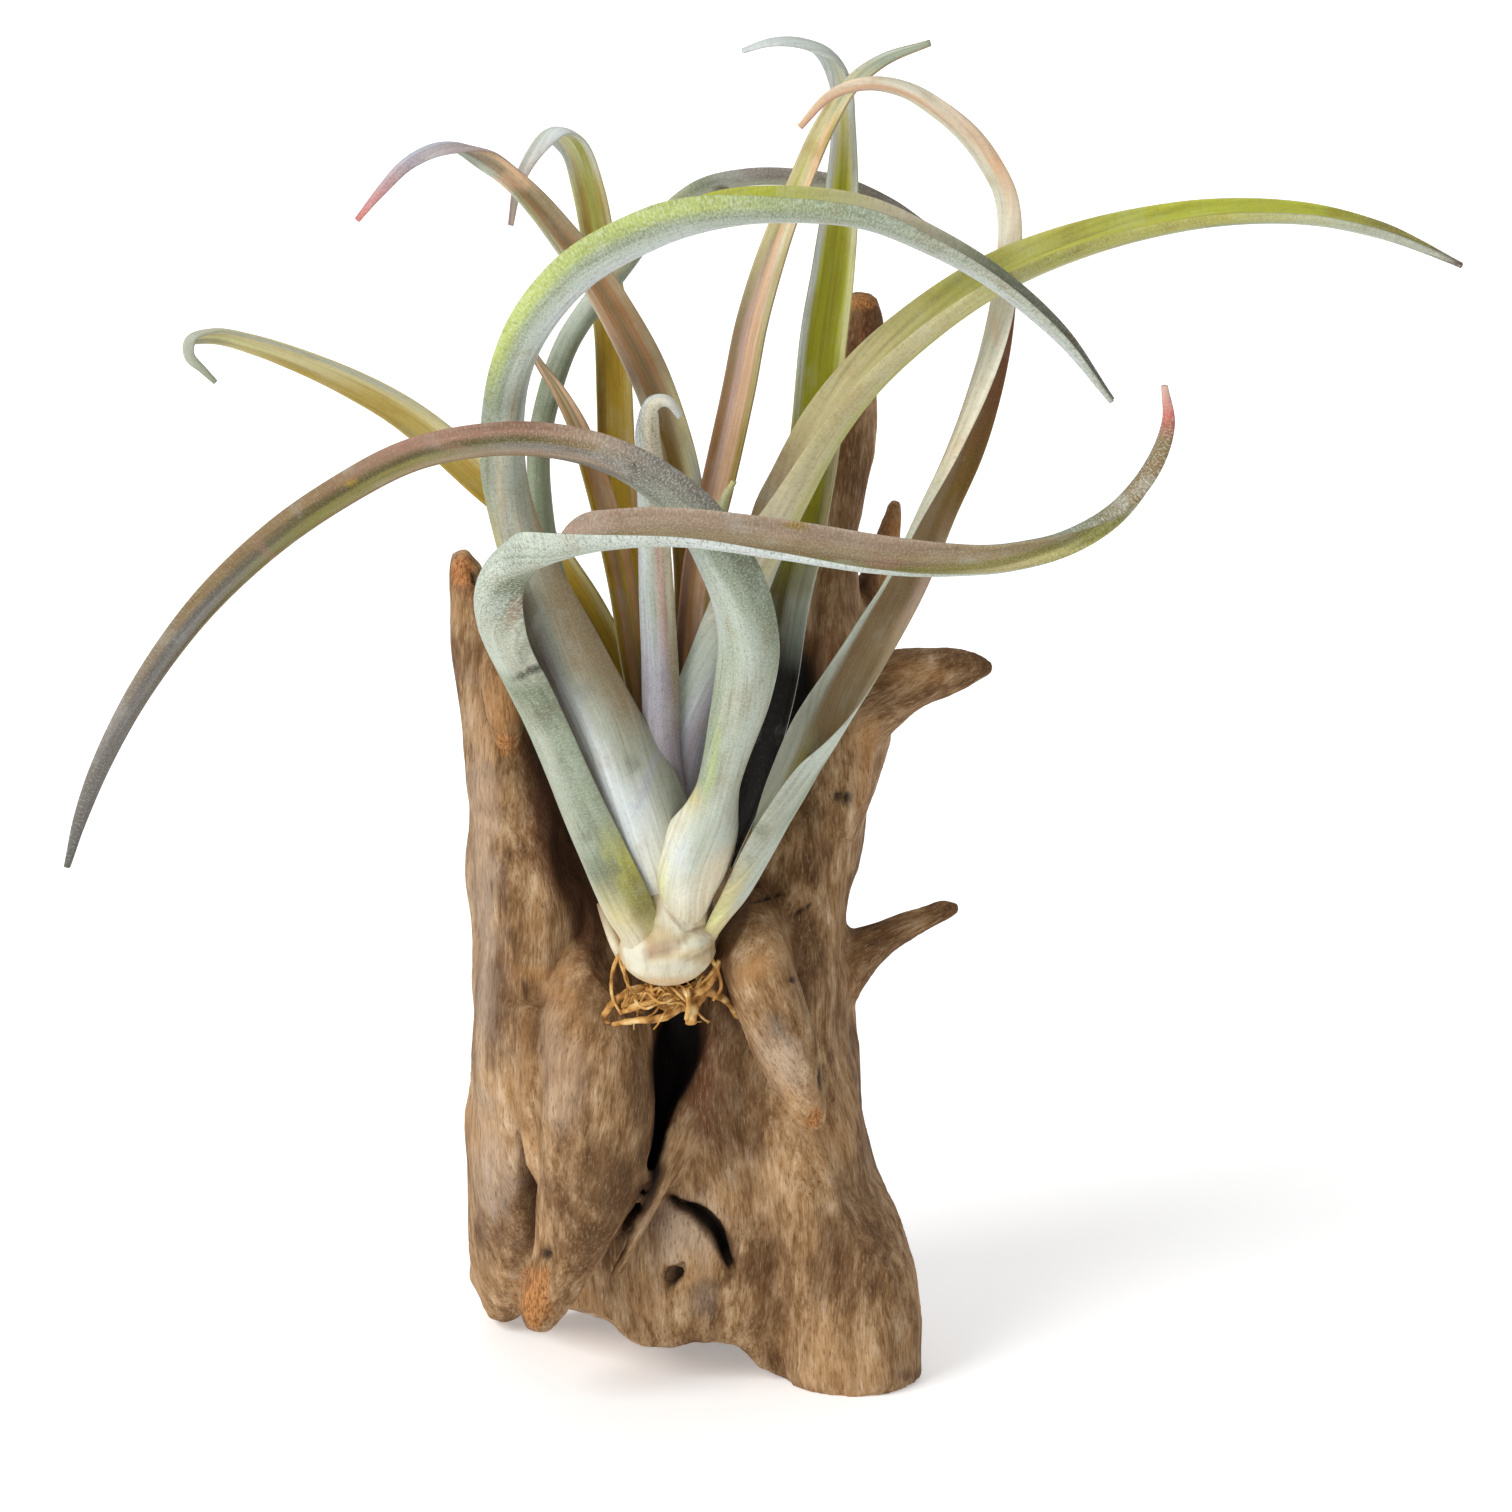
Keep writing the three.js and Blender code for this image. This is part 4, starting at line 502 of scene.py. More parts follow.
def spline(points, stations):
    """The centripetal curve through the points, read at stations counted in points."""
    ends = [2 * points[0] - points[1], 2 * points[-1] - points[-2]]
    points = np.vstack([ends[0], points, ends[1]])
    step = np.linalg.norm(np.diff(points, axis=0), axis=1) ** 0.5
    low = np.minimum(stations.astype(int), len(points) - 4)
    share = (stations - low)[:, None]
    before, start, end, after = (points[low + shift] for shift in range(4))
    d0, d1, d2 = (step[low + shift][:, None] for shift in range(3))
    leave = ((start - before) / d0 - (end - before) / (d0 + d1) + (end - start) / d1) * d1
    arrive = ((end - start) / d1 - (after - start) / (d1 + d2) + (after - end) / d2) * d1
    square = 3 * (end - start) - 2 * leave - arrive
    cube = 2 * (start - end) + leave + arrive
    return start + share * (leave + share * (square + share * cube))


def noise_at(points, sizes, seed=0.0):
    """Smooth noise from -1 to 1 at points, with features of these sizes in metres."""
    scaled = points / np.asarray(sizes) + seed
    return np.array([noise.noise(row) for row in scaled.tolist()])


def write_attributes(mesh, **attributes):
    """One number or vector a point for each keyword."""
    for name, values in attributes.items():
        values = np.asarray(values, np.float32)
        kind, field = ("FLOAT", "value") if values.ndim == 1 else ("FLOAT_VECTOR", "vector")
        mesh.attributes.new(name, kind, "POINT").data.foreach_set(field, values.ravel())


def placed(name, data):
    """A new object in the scene."""
    piece = bpy.data.objects.new(name, data)
    bpy.context.scene.collection.objects.link(piece)
    return piece


def mesh_piece(name, points, polygons, material, **attributes):
    mesh = bpy.data.meshes.new(name)
    mesh.from_pydata(points.tolist(), [], polygons)
    mesh.shade_smooth()
    mesh.materials.append(material)
    write_attributes(mesh, **attributes)
    return placed(name, mesh)


def move_points(mesh, points):
    mesh.vertices.foreach_set("co", points.ravel())
    mesh.update()


class Socket:
    """An output of a material's nodes. Arithmetic on it adds Math nodes."""

    def __init__(self, graph, output):
        self.graph = graph
        self.output = output

    def __add__(self, other):
        return self.graph.math("ADD", self, other)

    def __sub__(self, other):
        return self.graph.math("SUBTRACT", self, other)

    def __rsub__(self, other):
        return self.graph.math("SUBTRACT", other, self)

    def __mul__(self, other):
        return self.graph.math("MULTIPLY", self, other)

    __radd__ = __add__
    __rmul__ = __mul__


class Graph:
    """A material under construction."""

    def __init__(self, name):
        self.material = bpy.data.materials.new(name)
        self.material.use_nodes = True
        self.tree = self.material.node_tree
        self.tree.nodes.clear()

    def add(self, kind, settings=None, sockets=None, output=0):
        """A node of this kind with its settings, and the values or links of its sockets."""
        node = self.tree.nodes.new("ShaderNode" + kind)
        for key, value in (settings or {}).items():
            if key == "stops":
                self.set_stops(node.color_ramp.elements, value)
            else:
                setattr(node, key, value)
        for key, value in (sockets or {}).items():
            if isinstance(value, Socket):
                self.tree.links.new(value.output, node.inputs[key])
            else:
                node.inputs[key].default_value = value
        return Socket(self, node.outputs[output]) if node.outputs else None

    @staticmethod
    def set_stops(elements, stops):
        while len(elements) < len(stops):
            elements.new(0.5)
        for element, (place, colour) in zip(elements, stops):
            element.position = place
            element.color = linear(colour)

    def math(self, operation, one, other):
        return self.add("Math", {"operation": operation}, {0: one, 1: other})

    def blend(self, factor, one, other, mode="MIX"):
        settings = {"data_type": "RGBA", "blend_type": mode}
        return self.add("Mix", settings, {0: factor, 6: one, 7: other}, output=2)

    def layered(self, colour, *layers):
        """A colour with screen colours laid over it, each by its share."""
        for share, shade in layers:
            colour = self.blend(share, colour, linear(shade))
        return colour

    def attribute(self, name, output="Fac"):
        return self.add("Attribute", {"attribute_name": name}, output=output)

    def stretched(self, vector, scale):
        """A vector with its parts scaled to the size of a pattern."""
        return self.add("VectorMath", {"operation": "MULTIPLY"}, {0: vector, 1: scale})

    def noise(self, vector, detail=2.0, roughness=0.5, scale=1.0):
        sockets = {"Vector": vector, "Scale": scale, "Detail": detail, "Roughness": roughness}
        return self.add("TexNoise", {}, sockets)

    def above(self, value, low, high):
        """0 below low, 1 above high, smooth between."""
        sockets = {"Value": value, "From Min": low, "From Max": high}
        return self.add("MapRange", {"interpolation_type": "SMOOTHSTEP"}, sockets)

    def below(self, value, low, high):
        """1 below low, 0 above high, smooth between."""
        return 1 - self.above(value, low, high)

    def bump(self, height, distance, strength=1.0):
        return self.add("Bump", {}, {"Height": height, "Distance": distance, "Strength": strength})

    def surface(self, colour, roughness, normal=None, **constants):
        sockets = {"Base Color": colour, "Roughness": roughness, **constants}
        if normal:
            sockets["Normal"] = normal
        shader = self.add("BsdfPrincipled", {}, sockets)
        self.add("OutputMaterial", {}, {"Surface": shader})
        return self.material


def leaf_skin():
    """A leaf's skin: its tint with fine lines, clouds, felt, silver scales and the gaps between them."""
    graph = Graph("leaf_skin")
    flat = graph.attribute("flat", "Vector")
    tint = graph.attribute("tint", "Vector")
    scurf = graph.attribute("scurf")
    lines = graph.noise(graph.stretched(flat, (1.7, 0.04, 1)), detail=3, roughness=0.6)
    clouds = graph.noise(graph.stretched(flat, (0.2, 0.09, 1)), detail=4, roughness=0.6)
    felt = graph.noise(graph.stretched(flat, (1.5, 0.9, 1)), detail=4, roughness=0.75)
    grains = graph.noise(graph.stretched(flat, (3.4, 2.4, 1)), detail=2, roughness=0.7)
    colour = graph.blend(graph.above(lines, 0.45, 0.75) * 0.22, tint, tint, "ADD")
    for share, shade in (
        (graph.below(lines, 0.25, 0.48) * 0.4, (164, 150, 118)),
        (graph.above(clouds, 0.52, 0.7) * 0.4, (214, 188, 156)),
    ):
        colour = graph.blend(share, colour, linear(shade), "MULTIPLY")
    colour = graph.layered(
        colour,
        (graph.below(clouds, 0.32, 0.47) * (0.08 + scurf * 0.25), (206, 214, 206)),
        (graph.below(felt, 0.36, 0.5) * (0.1 + scurf * 0.3), (92, 98, 76)),
        (graph.above(grains, 0.5, 0.62) * scurf * 0.5, (216, 224, 212)),
        (graph.below(grains, 0.36, 0.45) * scurf * scurf * 0.55, (90, 98, 66)),
    )
    normal = graph.bump(lines * 0.5 + felt * 0.4 + grains * scurf * 0.6, 0.00022)
    constants = {"Specular IOR Level": 0.3, "Subsurface Weight": 0.05, "Subsurface Scale": 0.0015}
    return graph.surface(colour, 0.52 + scurf * 0.25, normal, **constants)


def channel_row(bends, cup):
    """How far beside and above its middle a channelled leaf lies at these bends."""
    side = np.sin(bends) / math.sin(RIM_ANGLE) / 2
    rise = cup * ((1 - np.cos(bends)) / (1 - math.cos(RIM_ANGLE)) - 0.5)
    return side, rise


def band_colours(bands, stations, across):
    """Colours of a leaf's face from its named bands, blended along and across."""
    stops = [stop for stop, *_ in bands]
    width = max(map(len, bands)) - 1
    rows = []
    for _, *names in bands:
        tints = np.array([TINTS[name] for name in names])
        places = (np.arange(width) + 0.5) / width * len(tints) - 0.5
        rows.append(lerped(tints, np.clip(places, 0, len(tints) - 1)))
    along = lerped(np.array(rows), np.interp(stations, stops, range(len(stops))))
    places = np.clip((across + 1) / 2 * width - 0.5, 0, width - 1)
    low = np.floor(places)
    return lerped(along.swapaxes(0, 1), low + smooth_step(0.15, 0.85, places - low)).swapaxes(0, 1)


def inside(points, oval, low, high, ragged=0.0):
    """1 within an oval of the front view and 0 out of it, fading where its rim is 1."""
    return 1 - smooth_step(low, high, seen_oval(points, *oval) + ragged)


def marked(points, tint, marks):
    """Tints with the typed ovals of other colours laid over them."""
    ragged = 0.25 * noise_at(points, 1.1 * MM, 5.5)
    for *oval, colour, strength in marks:
        share = strength * inside(points, oval, 0.5, 1.25, ragged)
        tint = tint + share[:, None] * (TINTS[colour] - tint)
    return tint


def lerped(rows, places):
    """Rows read at fractional places."""
    low = np.minimum(places.astype(int), len(rows) - 2) if len(rows) > 1 else np.zeros(len(places), int)
    high = np.minimum(low + 1, len(rows) - 1)
    share = (places - low).reshape((-1,) + (1,) * (rows.ndim - 1))
    return rows[low] * (1 - share) + rows[high] * share


def leaf_piece(name, leaf, material):
    """A closed blade that bends and turns as the CAD leaf does, with rounded margins."""
    last = len(leaf.route) - 1
    knots = at(leaf.route)
    measured = spline(knots, np.linspace(0, last, MEASURED_RINGS))
    rings = int(np.linalg.norm(np.diff(measured, axis=0), axis=1).sum() / RING_STEP)
    stations = np.linspace(0, last, rings + 1)
    spine = spline(knots, stations)
    tangents = unit(np.gradient(spine, axis=0))
    faces = [np.interp(stations, leaf.faces[:, 0], leaf.faces[:, axis + 1]) for axis in range(3)]
    opening = sum(part[:, None] * way for part, way in zip(faces, (RIGHT, UP, FRONT)))
    inward = square_to(evened(square_to(opening, tangents), SMOOTH_RINGS), tangents)
    across = np.cross(inward, tangents)
    seen = unit(np.cross(FRONT, tangents))
    side, rise = channel_row(np.linspace(-RIM_ANGLE, RIM_ANGLE, 5), leaf.cup)
    reach = np.outer((across * seen).sum(1), side) + np.outer((inward * seen).sum(1), rise)
    low, high = reach.min(axis=1), reach.max(axis=1)
    seen_width = np.interp(stations, range(last + 1), leaf.route[:, 3])
    edges = np.minimum(SEEN_EDGE, seen_width / 2)
    wide = evened((seen_width - edges) / np.maximum(high - low, LEAST_TURN), SMOOTH_RINGS)
    shift = evened(-wide * (low + high) / 2, SMOOTH_RINGS)
    centre = spine + seen * (shift * MM)[:, None]
    arc = np.concatenate([[0], np.cumsum(np.linalg.norm(np.diff(spine, axis=0), axis=1))])
    seed = sum(map(ord, name)) % LEAF_SEEDS
    waver = noise_at(np.stack([arc, arc * 0, arc * 0 + seed], 1), (WAVER_LENGTH, 1, 1))

    place = np.sin(np.linspace(-math.pi / 2, math.pi / 2, COLUMNS + 1))
    bends = place * RIM_ANGLE
    side, rise = channel_row(bends, leaf.cup)
    steepness = leaf.cup * np.sin(bends) / (1 - math.cos(RIM_ANGLE))
    slope = np.stack([np.cos(bends) / math.sin(RIM_ANGLE) / 2, steepness])
    slope /= np.linalg.norm(slope, axis=0)
    edge = np.abs(place)
    round_off = np.sqrt(np.clip(1 - (np.maximum(edge - 1 + ROUNDED, 0) / ROUNDED) ** 2, 0.05, 1))
    thick = BLADE_MIDDLE + (BLADE_EDGE - BLADE_MIDDLE) * edge
    thick = np.minimum(thick, (LEAST_BLADE + wide * TIP_FLATNESS)[:, None]) * round_off
    spread = wide * (1 + WAVER * waver)
    grids = []
    for sign in (-1, 1):
        sideways = np.outer(spread, side) - sign * slope[1] * thick / 2
        inwards = np.outer(wide, rise) + sign * slope[0] * thick / 2
        grid = centre[:, None] + sideways[..., None] * across[:, None] * MM
        grids.append(grid + inwards[..., None] * inward[:, None] * MM)
    under, over = grids
    points = np.concatenate([under, over[:, ::-1]], axis=1)
    count = points.shape[1]
    rows, columns = np.meshgrid(np.arange(rings), np.arange(count), indexing="ij")
    a = rows * count + columns
    b = rows * count + (columns + 1) % count
    quads = np.stack([a, b, b + count, a + count], axis=-1).reshape(-1, 4).tolist()
    for first, turned in ((0, True), (rings * count, False)):
        for column in range(COLUMNS):
            near, far = first + column, first + count - 1 - column
            cap = [near, near + 1, far - 1, far]
            quads.append(cap[::-1] if turned else cap)

    outer, inner = (band_colours(bands, stations, 2 * side) for bands in (leaf.outer, leaf.inner))
    points = points.reshape(-1, 3)
    tint = marked(points, np.concatenate([outer, inner[:, ::-1]], axis=1).reshape(-1, 3), leaf.marks)
    across_mm = np.outer(wide, np.concatenate([side, side[::-1]]))
    layer = np.repeat([0, FACE_GAP], COLUMNS + 1) + seed
    flat = np.stack(np.broadcast_arrays(across_mm, arc[:, None] / MM, layer), axis=-1)
    stops, *scales = zip(*leaf.scurf)
    scurf = np.repeat([np.interp(stations, stops, values) for values in scales], COLUMNS + 1, axis=0).T
    attributes = {"tint": tint, "flat": flat.reshape(-1, 3), "scurf": scurf.ravel()}
    return mesh_piece(name + "_blade", points, quads, material, **attributes)


def remeshed(node, name, voxel, softenings, additions=()):
    """A copy of a CAD node, with tubes grown onto it, under an even, softened skin."""
    mesh = node.data.copy()
    piece = placed(name, mesh)
    joined = bmesh.new()
    joined.from_mesh(mesh)
    bmesh.ops.remove_doubles(joined, verts=joined.verts, dist=WELD_GAP)
    for points, polygons in additions:
        corners = [joined.verts.new(point) for point in points]
        for polygon in polygons:
            joined.faces.new([corners[corner] for corner in polygon])
    joined.to_mesh(mesh)
    joined.free()
    skin = piece.modifiers.new("skin", "REMESH")
    skin.mode = "VOXEL"
    skin.voxel_size = voxel
    soften = piece.modifiers.new("soften", "SMOOTH")
    soften.factor = 0.5
    soften.iterations = softenings
    whole = bpy.data.meshes.new_from_object(piece.evaluated_get(bpy.context.evaluated_depsgraph_get()))
    piece.modifiers.clear()
    piece.data = whole
    whole.materials.clear()
    whole.shade_smooth()
    return piece


def mesh_arrays(mesh):
    """The points and the normals of a mesh."""
    arrays = []
    for name in ("co", "normal"):
        values = np.empty(len(mesh.vertices) * 3)
        mesh.vertices.foreach_get(name, values)
        arrays.append(values.reshape(-1, 3))
    return arrays


def openness(mesh, points, normals):
    """How much of the sky each point sees, from 0 in a deep hollow to 1 in the open."""
    tree = BVHTree.FromPolygons(points.tolist(), [tuple(face.vertices) for face in mesh.polygons])
    turn = math.pi * (3 - math.sqrt(5))
    ways = []
    for ray in range(SKY_RAYS):
        height = 1 - SKY_SPREAD * (ray + 0.5) / SKY_RAYS
        flat = math.sqrt(1 - height * height)
        ways.append((flat * math.cos(ray * turn), flat * math.sin(ray * turn), height))
    shares = np.zeros(len(points))
    for index, (point, normal) in enumerate(zip(points.tolist(), normals.tolist())):
        up = Vector(normal)
        turned = up.to_track_quat("Z", "Y")
        start = Vector(point) + up * RAY_START
        for way in ways:
            distance = tree.ray_cast(start, turned @ Vector(way), SKY_REACH)[3]
            shares[index] += (1 if distance is None else distance / SKY_REACH) / SKY_RAYS
    return shares


def neighbours_mean(mesh, values, rounds):
    """Values at vertices averaged along the edges."""
    edges = np.empty(len(mesh.edges) * 2, int)
    mesh.edges.foreach_get("vertices", edges)
    one, other = edges.reshape(-1, 2).T
    count = np.bincount(one, minlength=len(values)) + np.bincount(other, minlength=len(values))
    for _ in range(rounds):
        sums = np.bincount(one, values[other], len(values)) + np.bincount(other, values[one], len(values))
        values = (values + sums / np.maximum(count, 1)) / 2
    return values


def limb_frame(points):
    """Each point in the frame of the slanting limb it lies on, and how much it belongs to that limb."""
    weight = np.zeros(len(points))
    local = points.copy()
    for index, rows in enumerate(LIMBS):
        line = at(rows)
        radii = [row[3] * MM for row in rows]
        best = np.full(len(points), np.inf)
        for start, end, near, far in zip(line, line[1:], radii, radii[1:]):
            way = end - start
            share = np.clip(((points - start) @ way) / (way @ way), 0, 1)
            distance = np.linalg.norm(points - start - share[:, None] * way, axis=1)
            best = np.minimum(best, distance / (near + share * (far - near)))
        mine = 1 - smooth_step(*LIMB_EDGE, best)
        axis = Vector(line[-1] - line[0]).normalized()
        turned = np.array(axis.to_track_quat("Z", "Y").to_matrix())
        nearer = mine > weight
        local[nearer] = (points[nearer] - line[0]) @ turned + index * LIMB_STEP
        weight = np.maximum(weight, mine)
    return local, weight


def seen_offset(points, across, up):
    """Each point's place on the front view from a typed place, in millimetres."""
    height = (points @ UP) / MM + MIDDLE[1] * math.sin(VIEW_TILT)
    return points[:, 0] / MM + MIDDLE[0] - across, height - up


def seen_oval(points, across, up, half_across, half_up, lean=0.0):
    """How far out each point lies from an oval on the front view: 1 on its rim."""
    x, y = seen_offset(points, across, up)
    turn = math.radians(lean)
    along = x * math.sin(turn) + y * math.cos(turn)
    beside = x * math.cos(turn) - y * math.sin(turn)
    return np.hypot(beside / half_across, along / half_up)


def fibres(points, across, along, seed):
    """Ridged noise stretched along the third axis."""
    return 1 - 2 * np.abs(noise_at(points, (across * MM, across * MM, along * MM), seed))


def wood_piece():
    """The driftwood with grain, flutes, torn ends and knot holes worked into its skin."""
    fills = [tube_shape(at(rows), np.array(rows)[:, 3] * MM, FILL_SIDES) for rows in FILLS]
    piece = remeshed(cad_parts["driftwood"], "driftwood_skin", WOOD_VOXEL, WOOD_SOFTENINGS, fills)
    mesh = piece.data
    points, normals = mesh_arrays(mesh)
    local, limb = limb_frame(points)
    warp = np.stack([noise_at(points, WARP_SIZE, seed) for seed in WARP_SEEDS], axis=1)
    upright = points + warp * WARP_REACH * MM

    def both(measure):
        return measure(upright) * (1 - limb) + measure(local) * limb

    flutes = both(lambda rows: noise_at(rows, FLUTES, 1.5))
    grooves = both(lambda rows: fibres(rows, *GROOVES))
    fine = both(lambda rows: fibres(rows, *FINE_FIBRES))
    lumps = noise_at(points, LUMPS, 4.4)
    facing = smooth_step(0.0, 0.5, normals @ FRONT)
    torn = np.zeros(len(points))
    for oval in TORN:
        torn = np.maximum(torn, inside(points, oval, 0.8, 1.15, 0.25 * fine) * facing)
    holes = np.zeros(len(points))
    depth = np.zeros(len(points))
    for *oval, deep in HOLES:
        hole = inside(points, oval, 0.4, 1.4) * facing
        holes = np.maximum(holes, hole)
        depth += hole * deep
    stain = np.zeros((len(points), 3))
    stained = np.zeros(len(points))
    cloud = noise_at(points, 5 * MM, 2.7)
    # Stains, with painted shade and painted highlight among them
    for *oval, colour, strength in STAINS_AND_PAINTED_LIGHT:
        share = strength * facing * inside(points, oval, 0.3, 1.3, 0.4 * cloud + 0.15 * fine)
        stain += (TINTS[colour] - stain) * (share / np.maximum(stained + share, 1e-6))[:, None]
        stained = 1 - (1 - stained) * (1 - share)
    floor = smooth_step(0, 3 * MM, points[:, 2])
    height = 0.4 * flutes + 0.22 * grooves + 0.14 * fine + 0.8 * lumps
    height = height * (1 - 0.6 * torn) + torn * (0.5 * fine - 0.5) - depth
    move_points(mesh, points + normals * (height * floor * MM)[:, None])
    points, normals = mesh_arrays(mesh)
    # How open each point is, for the painted shade of the hollows; inside the typed hollows it counts as
    # less open still
    sky = neighbours_mean(mesh, openness(mesh, points, normals), 2)
    in_front = smooth_step(-0.4, -0.1, normals @ FRONT)
    for *oval, strength in SHADED:
        sky *= 1 - strength * in_front * inside(points, oval, 0.6, 1.2)
    write_attributes(
        mesh,
        sky=sky,
        torn=torn,
        hole=holes,
        relief=0.5 * (grooves + flutes),
        stain=stain,
        stained=stained,
        limb=limb,
        limb_frame=local / MM,
        upright=upright / MM,
    )
    mesh.materials.append(wood_skin())
    return piece


def wood_skin():
    """Weathered wood: short fibres and blotches, painted shade where it is closed in and in its holes,
    orange where torn.
    """
    graph = Graph("driftwood_skin")
    names = ("sky", "torn", "hole", "relief", "limb", "stained")
    sky, torn, hole, relief, limb, stained = (graph.attribute(name) for name in names)
    frames = [graph.attribute("upright", "Vector"), graph.attribute("limb_frame", "Vector")]

    def grain(scale, detail=4.0, roughness=0.6):
        one, other = (graph.noise(graph.stretched(way, scale), detail, roughness) for way in frames)
        return one * (1 - limb) + other * limb

    blotches = grain((0.3, 0.3, 0.12), 3.0)
    streaks = grain((0.8, 0.8, 0.14), 4.0, 0.65)
    threads = grain((2.6, 2.6, 0.34), 3.0, 0.7)
    clouds = graph.noise(graph.stretched(frames[0], (0.07, 0.07, 0.05)), 3.0)
    stops = [(0.34, (82, 54, 27)), (0.46, (136, 101, 63)), (0.56, (178, 146, 109)), (0.68, (226, 200, 170))]
    tone = streaks * 0.35 + blotches * 0.4 + clouds * 0.25
    colour = graph.layered(
        graph.add("ValToRGB", {"stops": stops}, {"Fac": tone}),
        (graph.above(clouds, 0.5, 0.66) * 0.4, (178, 134, 84)),
        (graph.below(clouds, 0.36, 0.48) * 0.45, (88, 58, 33)),
    )
    # Stains laid over the tone, with painted shade and painted highlight among them
    colour = graph.blend(stained, colour, graph.attribute("stain", "Vector"))
    colour = graph.layered(
        colour,
        (graph.above(threads, 0.5, 0.74) * 0.34, (214, 186, 152)),
        (graph.below(threads, 0.32, 0.48) * 0.55, (70, 46, 26)),
        (graph.below(relief, -0.2, 0.35) * 0.3, (80, 52, 28)),
        # Painted shade: darker where the surface sees less sky, near black deep in the hollows
        (graph.below(sky, 0.4, 0.88) * 0.7, (70, 40, 18)),
        (graph.below(sky, 0.12, 0.5), (10, 5, 2)),
    )
    shreds = graph.blend(graph.above(threads, 0.3, 0.66), linear((112, 66, 30)), linear((204, 142, 84)))
    colour = graph.blend(torn * 0.85, colour, shreds)
    # Painted shade inside the knot holes and cracks
    colour = graph.layered(colour, (hole * 0.92, (26, 15, 9)))
    normal = graph.bump(threads * 0.6 + streaks * 0.7, 0.0006, 0.8)
    return graph.surface(colour, 0.8 - streaks * 0.12, normal, **{"Specular IOR Level": 0.2})


def stem_piece():
    """The pale swollen base, with folds of its old sheaths round it."""
    piece = remeshed(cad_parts["stem_base"], "stem_base_skin", STEM_VOXEL, STEM_SOFTENINGS)
    mesh = piece.data
    points, normals = mesh_arrays(mesh)
    height = 0.14 * fibres(points, 2.6, 22, 2.2) + 0.3 * noise_at(points, 5 * MM, 8.1)
    for *oval, swell in FOLDS:
        height += swell * inside(points, oval, 0.5, 1.15)
    points = points + normals * (height * MM)[:, None]
    beside, above = seen_offset(points, *BOWL[:2])
    excess = 1 - 1 / np.maximum(seen_oval(points, *BOWL), 1)
    pull = excess * smooth_step(0, 3, -above) * MM
    points -= (pull * beside)[:, None] * RIGHT + (pull * above)[:, None] * UP
    move_points(mesh, points)
    tint = np.repeat(TINTS["buttermilk"][None], len(points), 0)
    write_attributes(mesh, tint=marked(points, tint, STEM_MARKS))
    graph = Graph("stem_base_skin")
    where = graph.add("TexCoord", output="Object")
    lines = graph.noise(graph.stretched(where, (900, 900, 90)), 3.0)
    clouds = graph.noise(where, 4.0, scale=260)
    colour = graph.layered(
        graph.attribute("tint", "Vector"),
        (graph.above(lines, 0.45, 0.7) * 0.35, (196, 172, 128)),
        (graph.above(clouds, 0.5, 0.7) * 0.3, (234, 226, 200)),
        (graph.below(clouds, 0.3, 0.46) * 0.4, (172, 134, 92)),
    )
    normal = graph.bump(lines, 0.0003)
    mesh.materials.append(graph.surface(colour, 0.6, normal, **{"Specular IOR Level": 0.3}))
    return piece


def root_skin(name):
    """Amber roots, cloudy from dark to pale."""
    graph = Graph(name)
    clouds = graph.noise(graph.add("TexCoord", output="Object"), 4.0, scale=420)
    stops = [(0.3, (120, 78, 32)), (0.46, (184, 132, 64)), (0.58, (214, 170, 102)), (0.72, (234, 206, 152))]
    colour = graph.add("ValToRGB", {"stops": stops}, {"Fac": clouds})
    return graph.surface(colour, 0.6, graph.bump(clouds, 0.0004), **{"Specular IOR Level": 0.3})


def roots_piece():
    """The bunch of roots, wiry and amber."""
    piece = remeshed(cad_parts["roots"], "roots_skin", ROOT_VOXEL, ROOT_SOFTENINGS)
    mesh = piece.data
    points, normals = mesh_arrays(mesh)
    knots = noise_at(points, 1.6 * MM, 6.3)
    move_points(mesh, points + normals * (0.16 * knots * MM)[:, None])
    mesh.materials.append(root_skin("roots_skin"))
    return piece


def tube_shape(path, radii, sides):
    """Points and polygons of a closed tube along a path of points."""
    turns = np.arange(sides) * 2 * math.pi / sides
    tangents = unit(np.gradient(path, axis=0))
    side = square_to(np.broadcast_to(RIGHT + 0.3 * UP, path.shape), tangents)
    other = np.cross(tangents, side)
    ring = np.cos(turns)[None, :, None] * side[:, None] + np.sin(turns)[None, :, None] * other[:, None]
    points = (path[:, None] + ring * np.asarray(radii)[:, None, None]).reshape(-1, 3)
    polygons = []
    for start in range(0, (len(path) - 1) * sides, sides):
        for turn in range(sides):
            one = start + turn
            two = start + (turn + 1) % sides
            polygons.append((one, two, two + sides, one + sides))
    polygons.append(tuple(reversed(range(sides))))
    polygons.append(tuple(range((len(path) - 1) * sides, len(path) * sides)))
    return points, polygons


def gathered(shapes):
    """Many shapes' points and polygons as one list of each."""
    points, polygons = [], []
    for some, faces in shapes:
        polygons.extend(tuple(corner + len(points) for corner in face) for face in faces)
        points.extend(some)
    return np.array(points), polygons


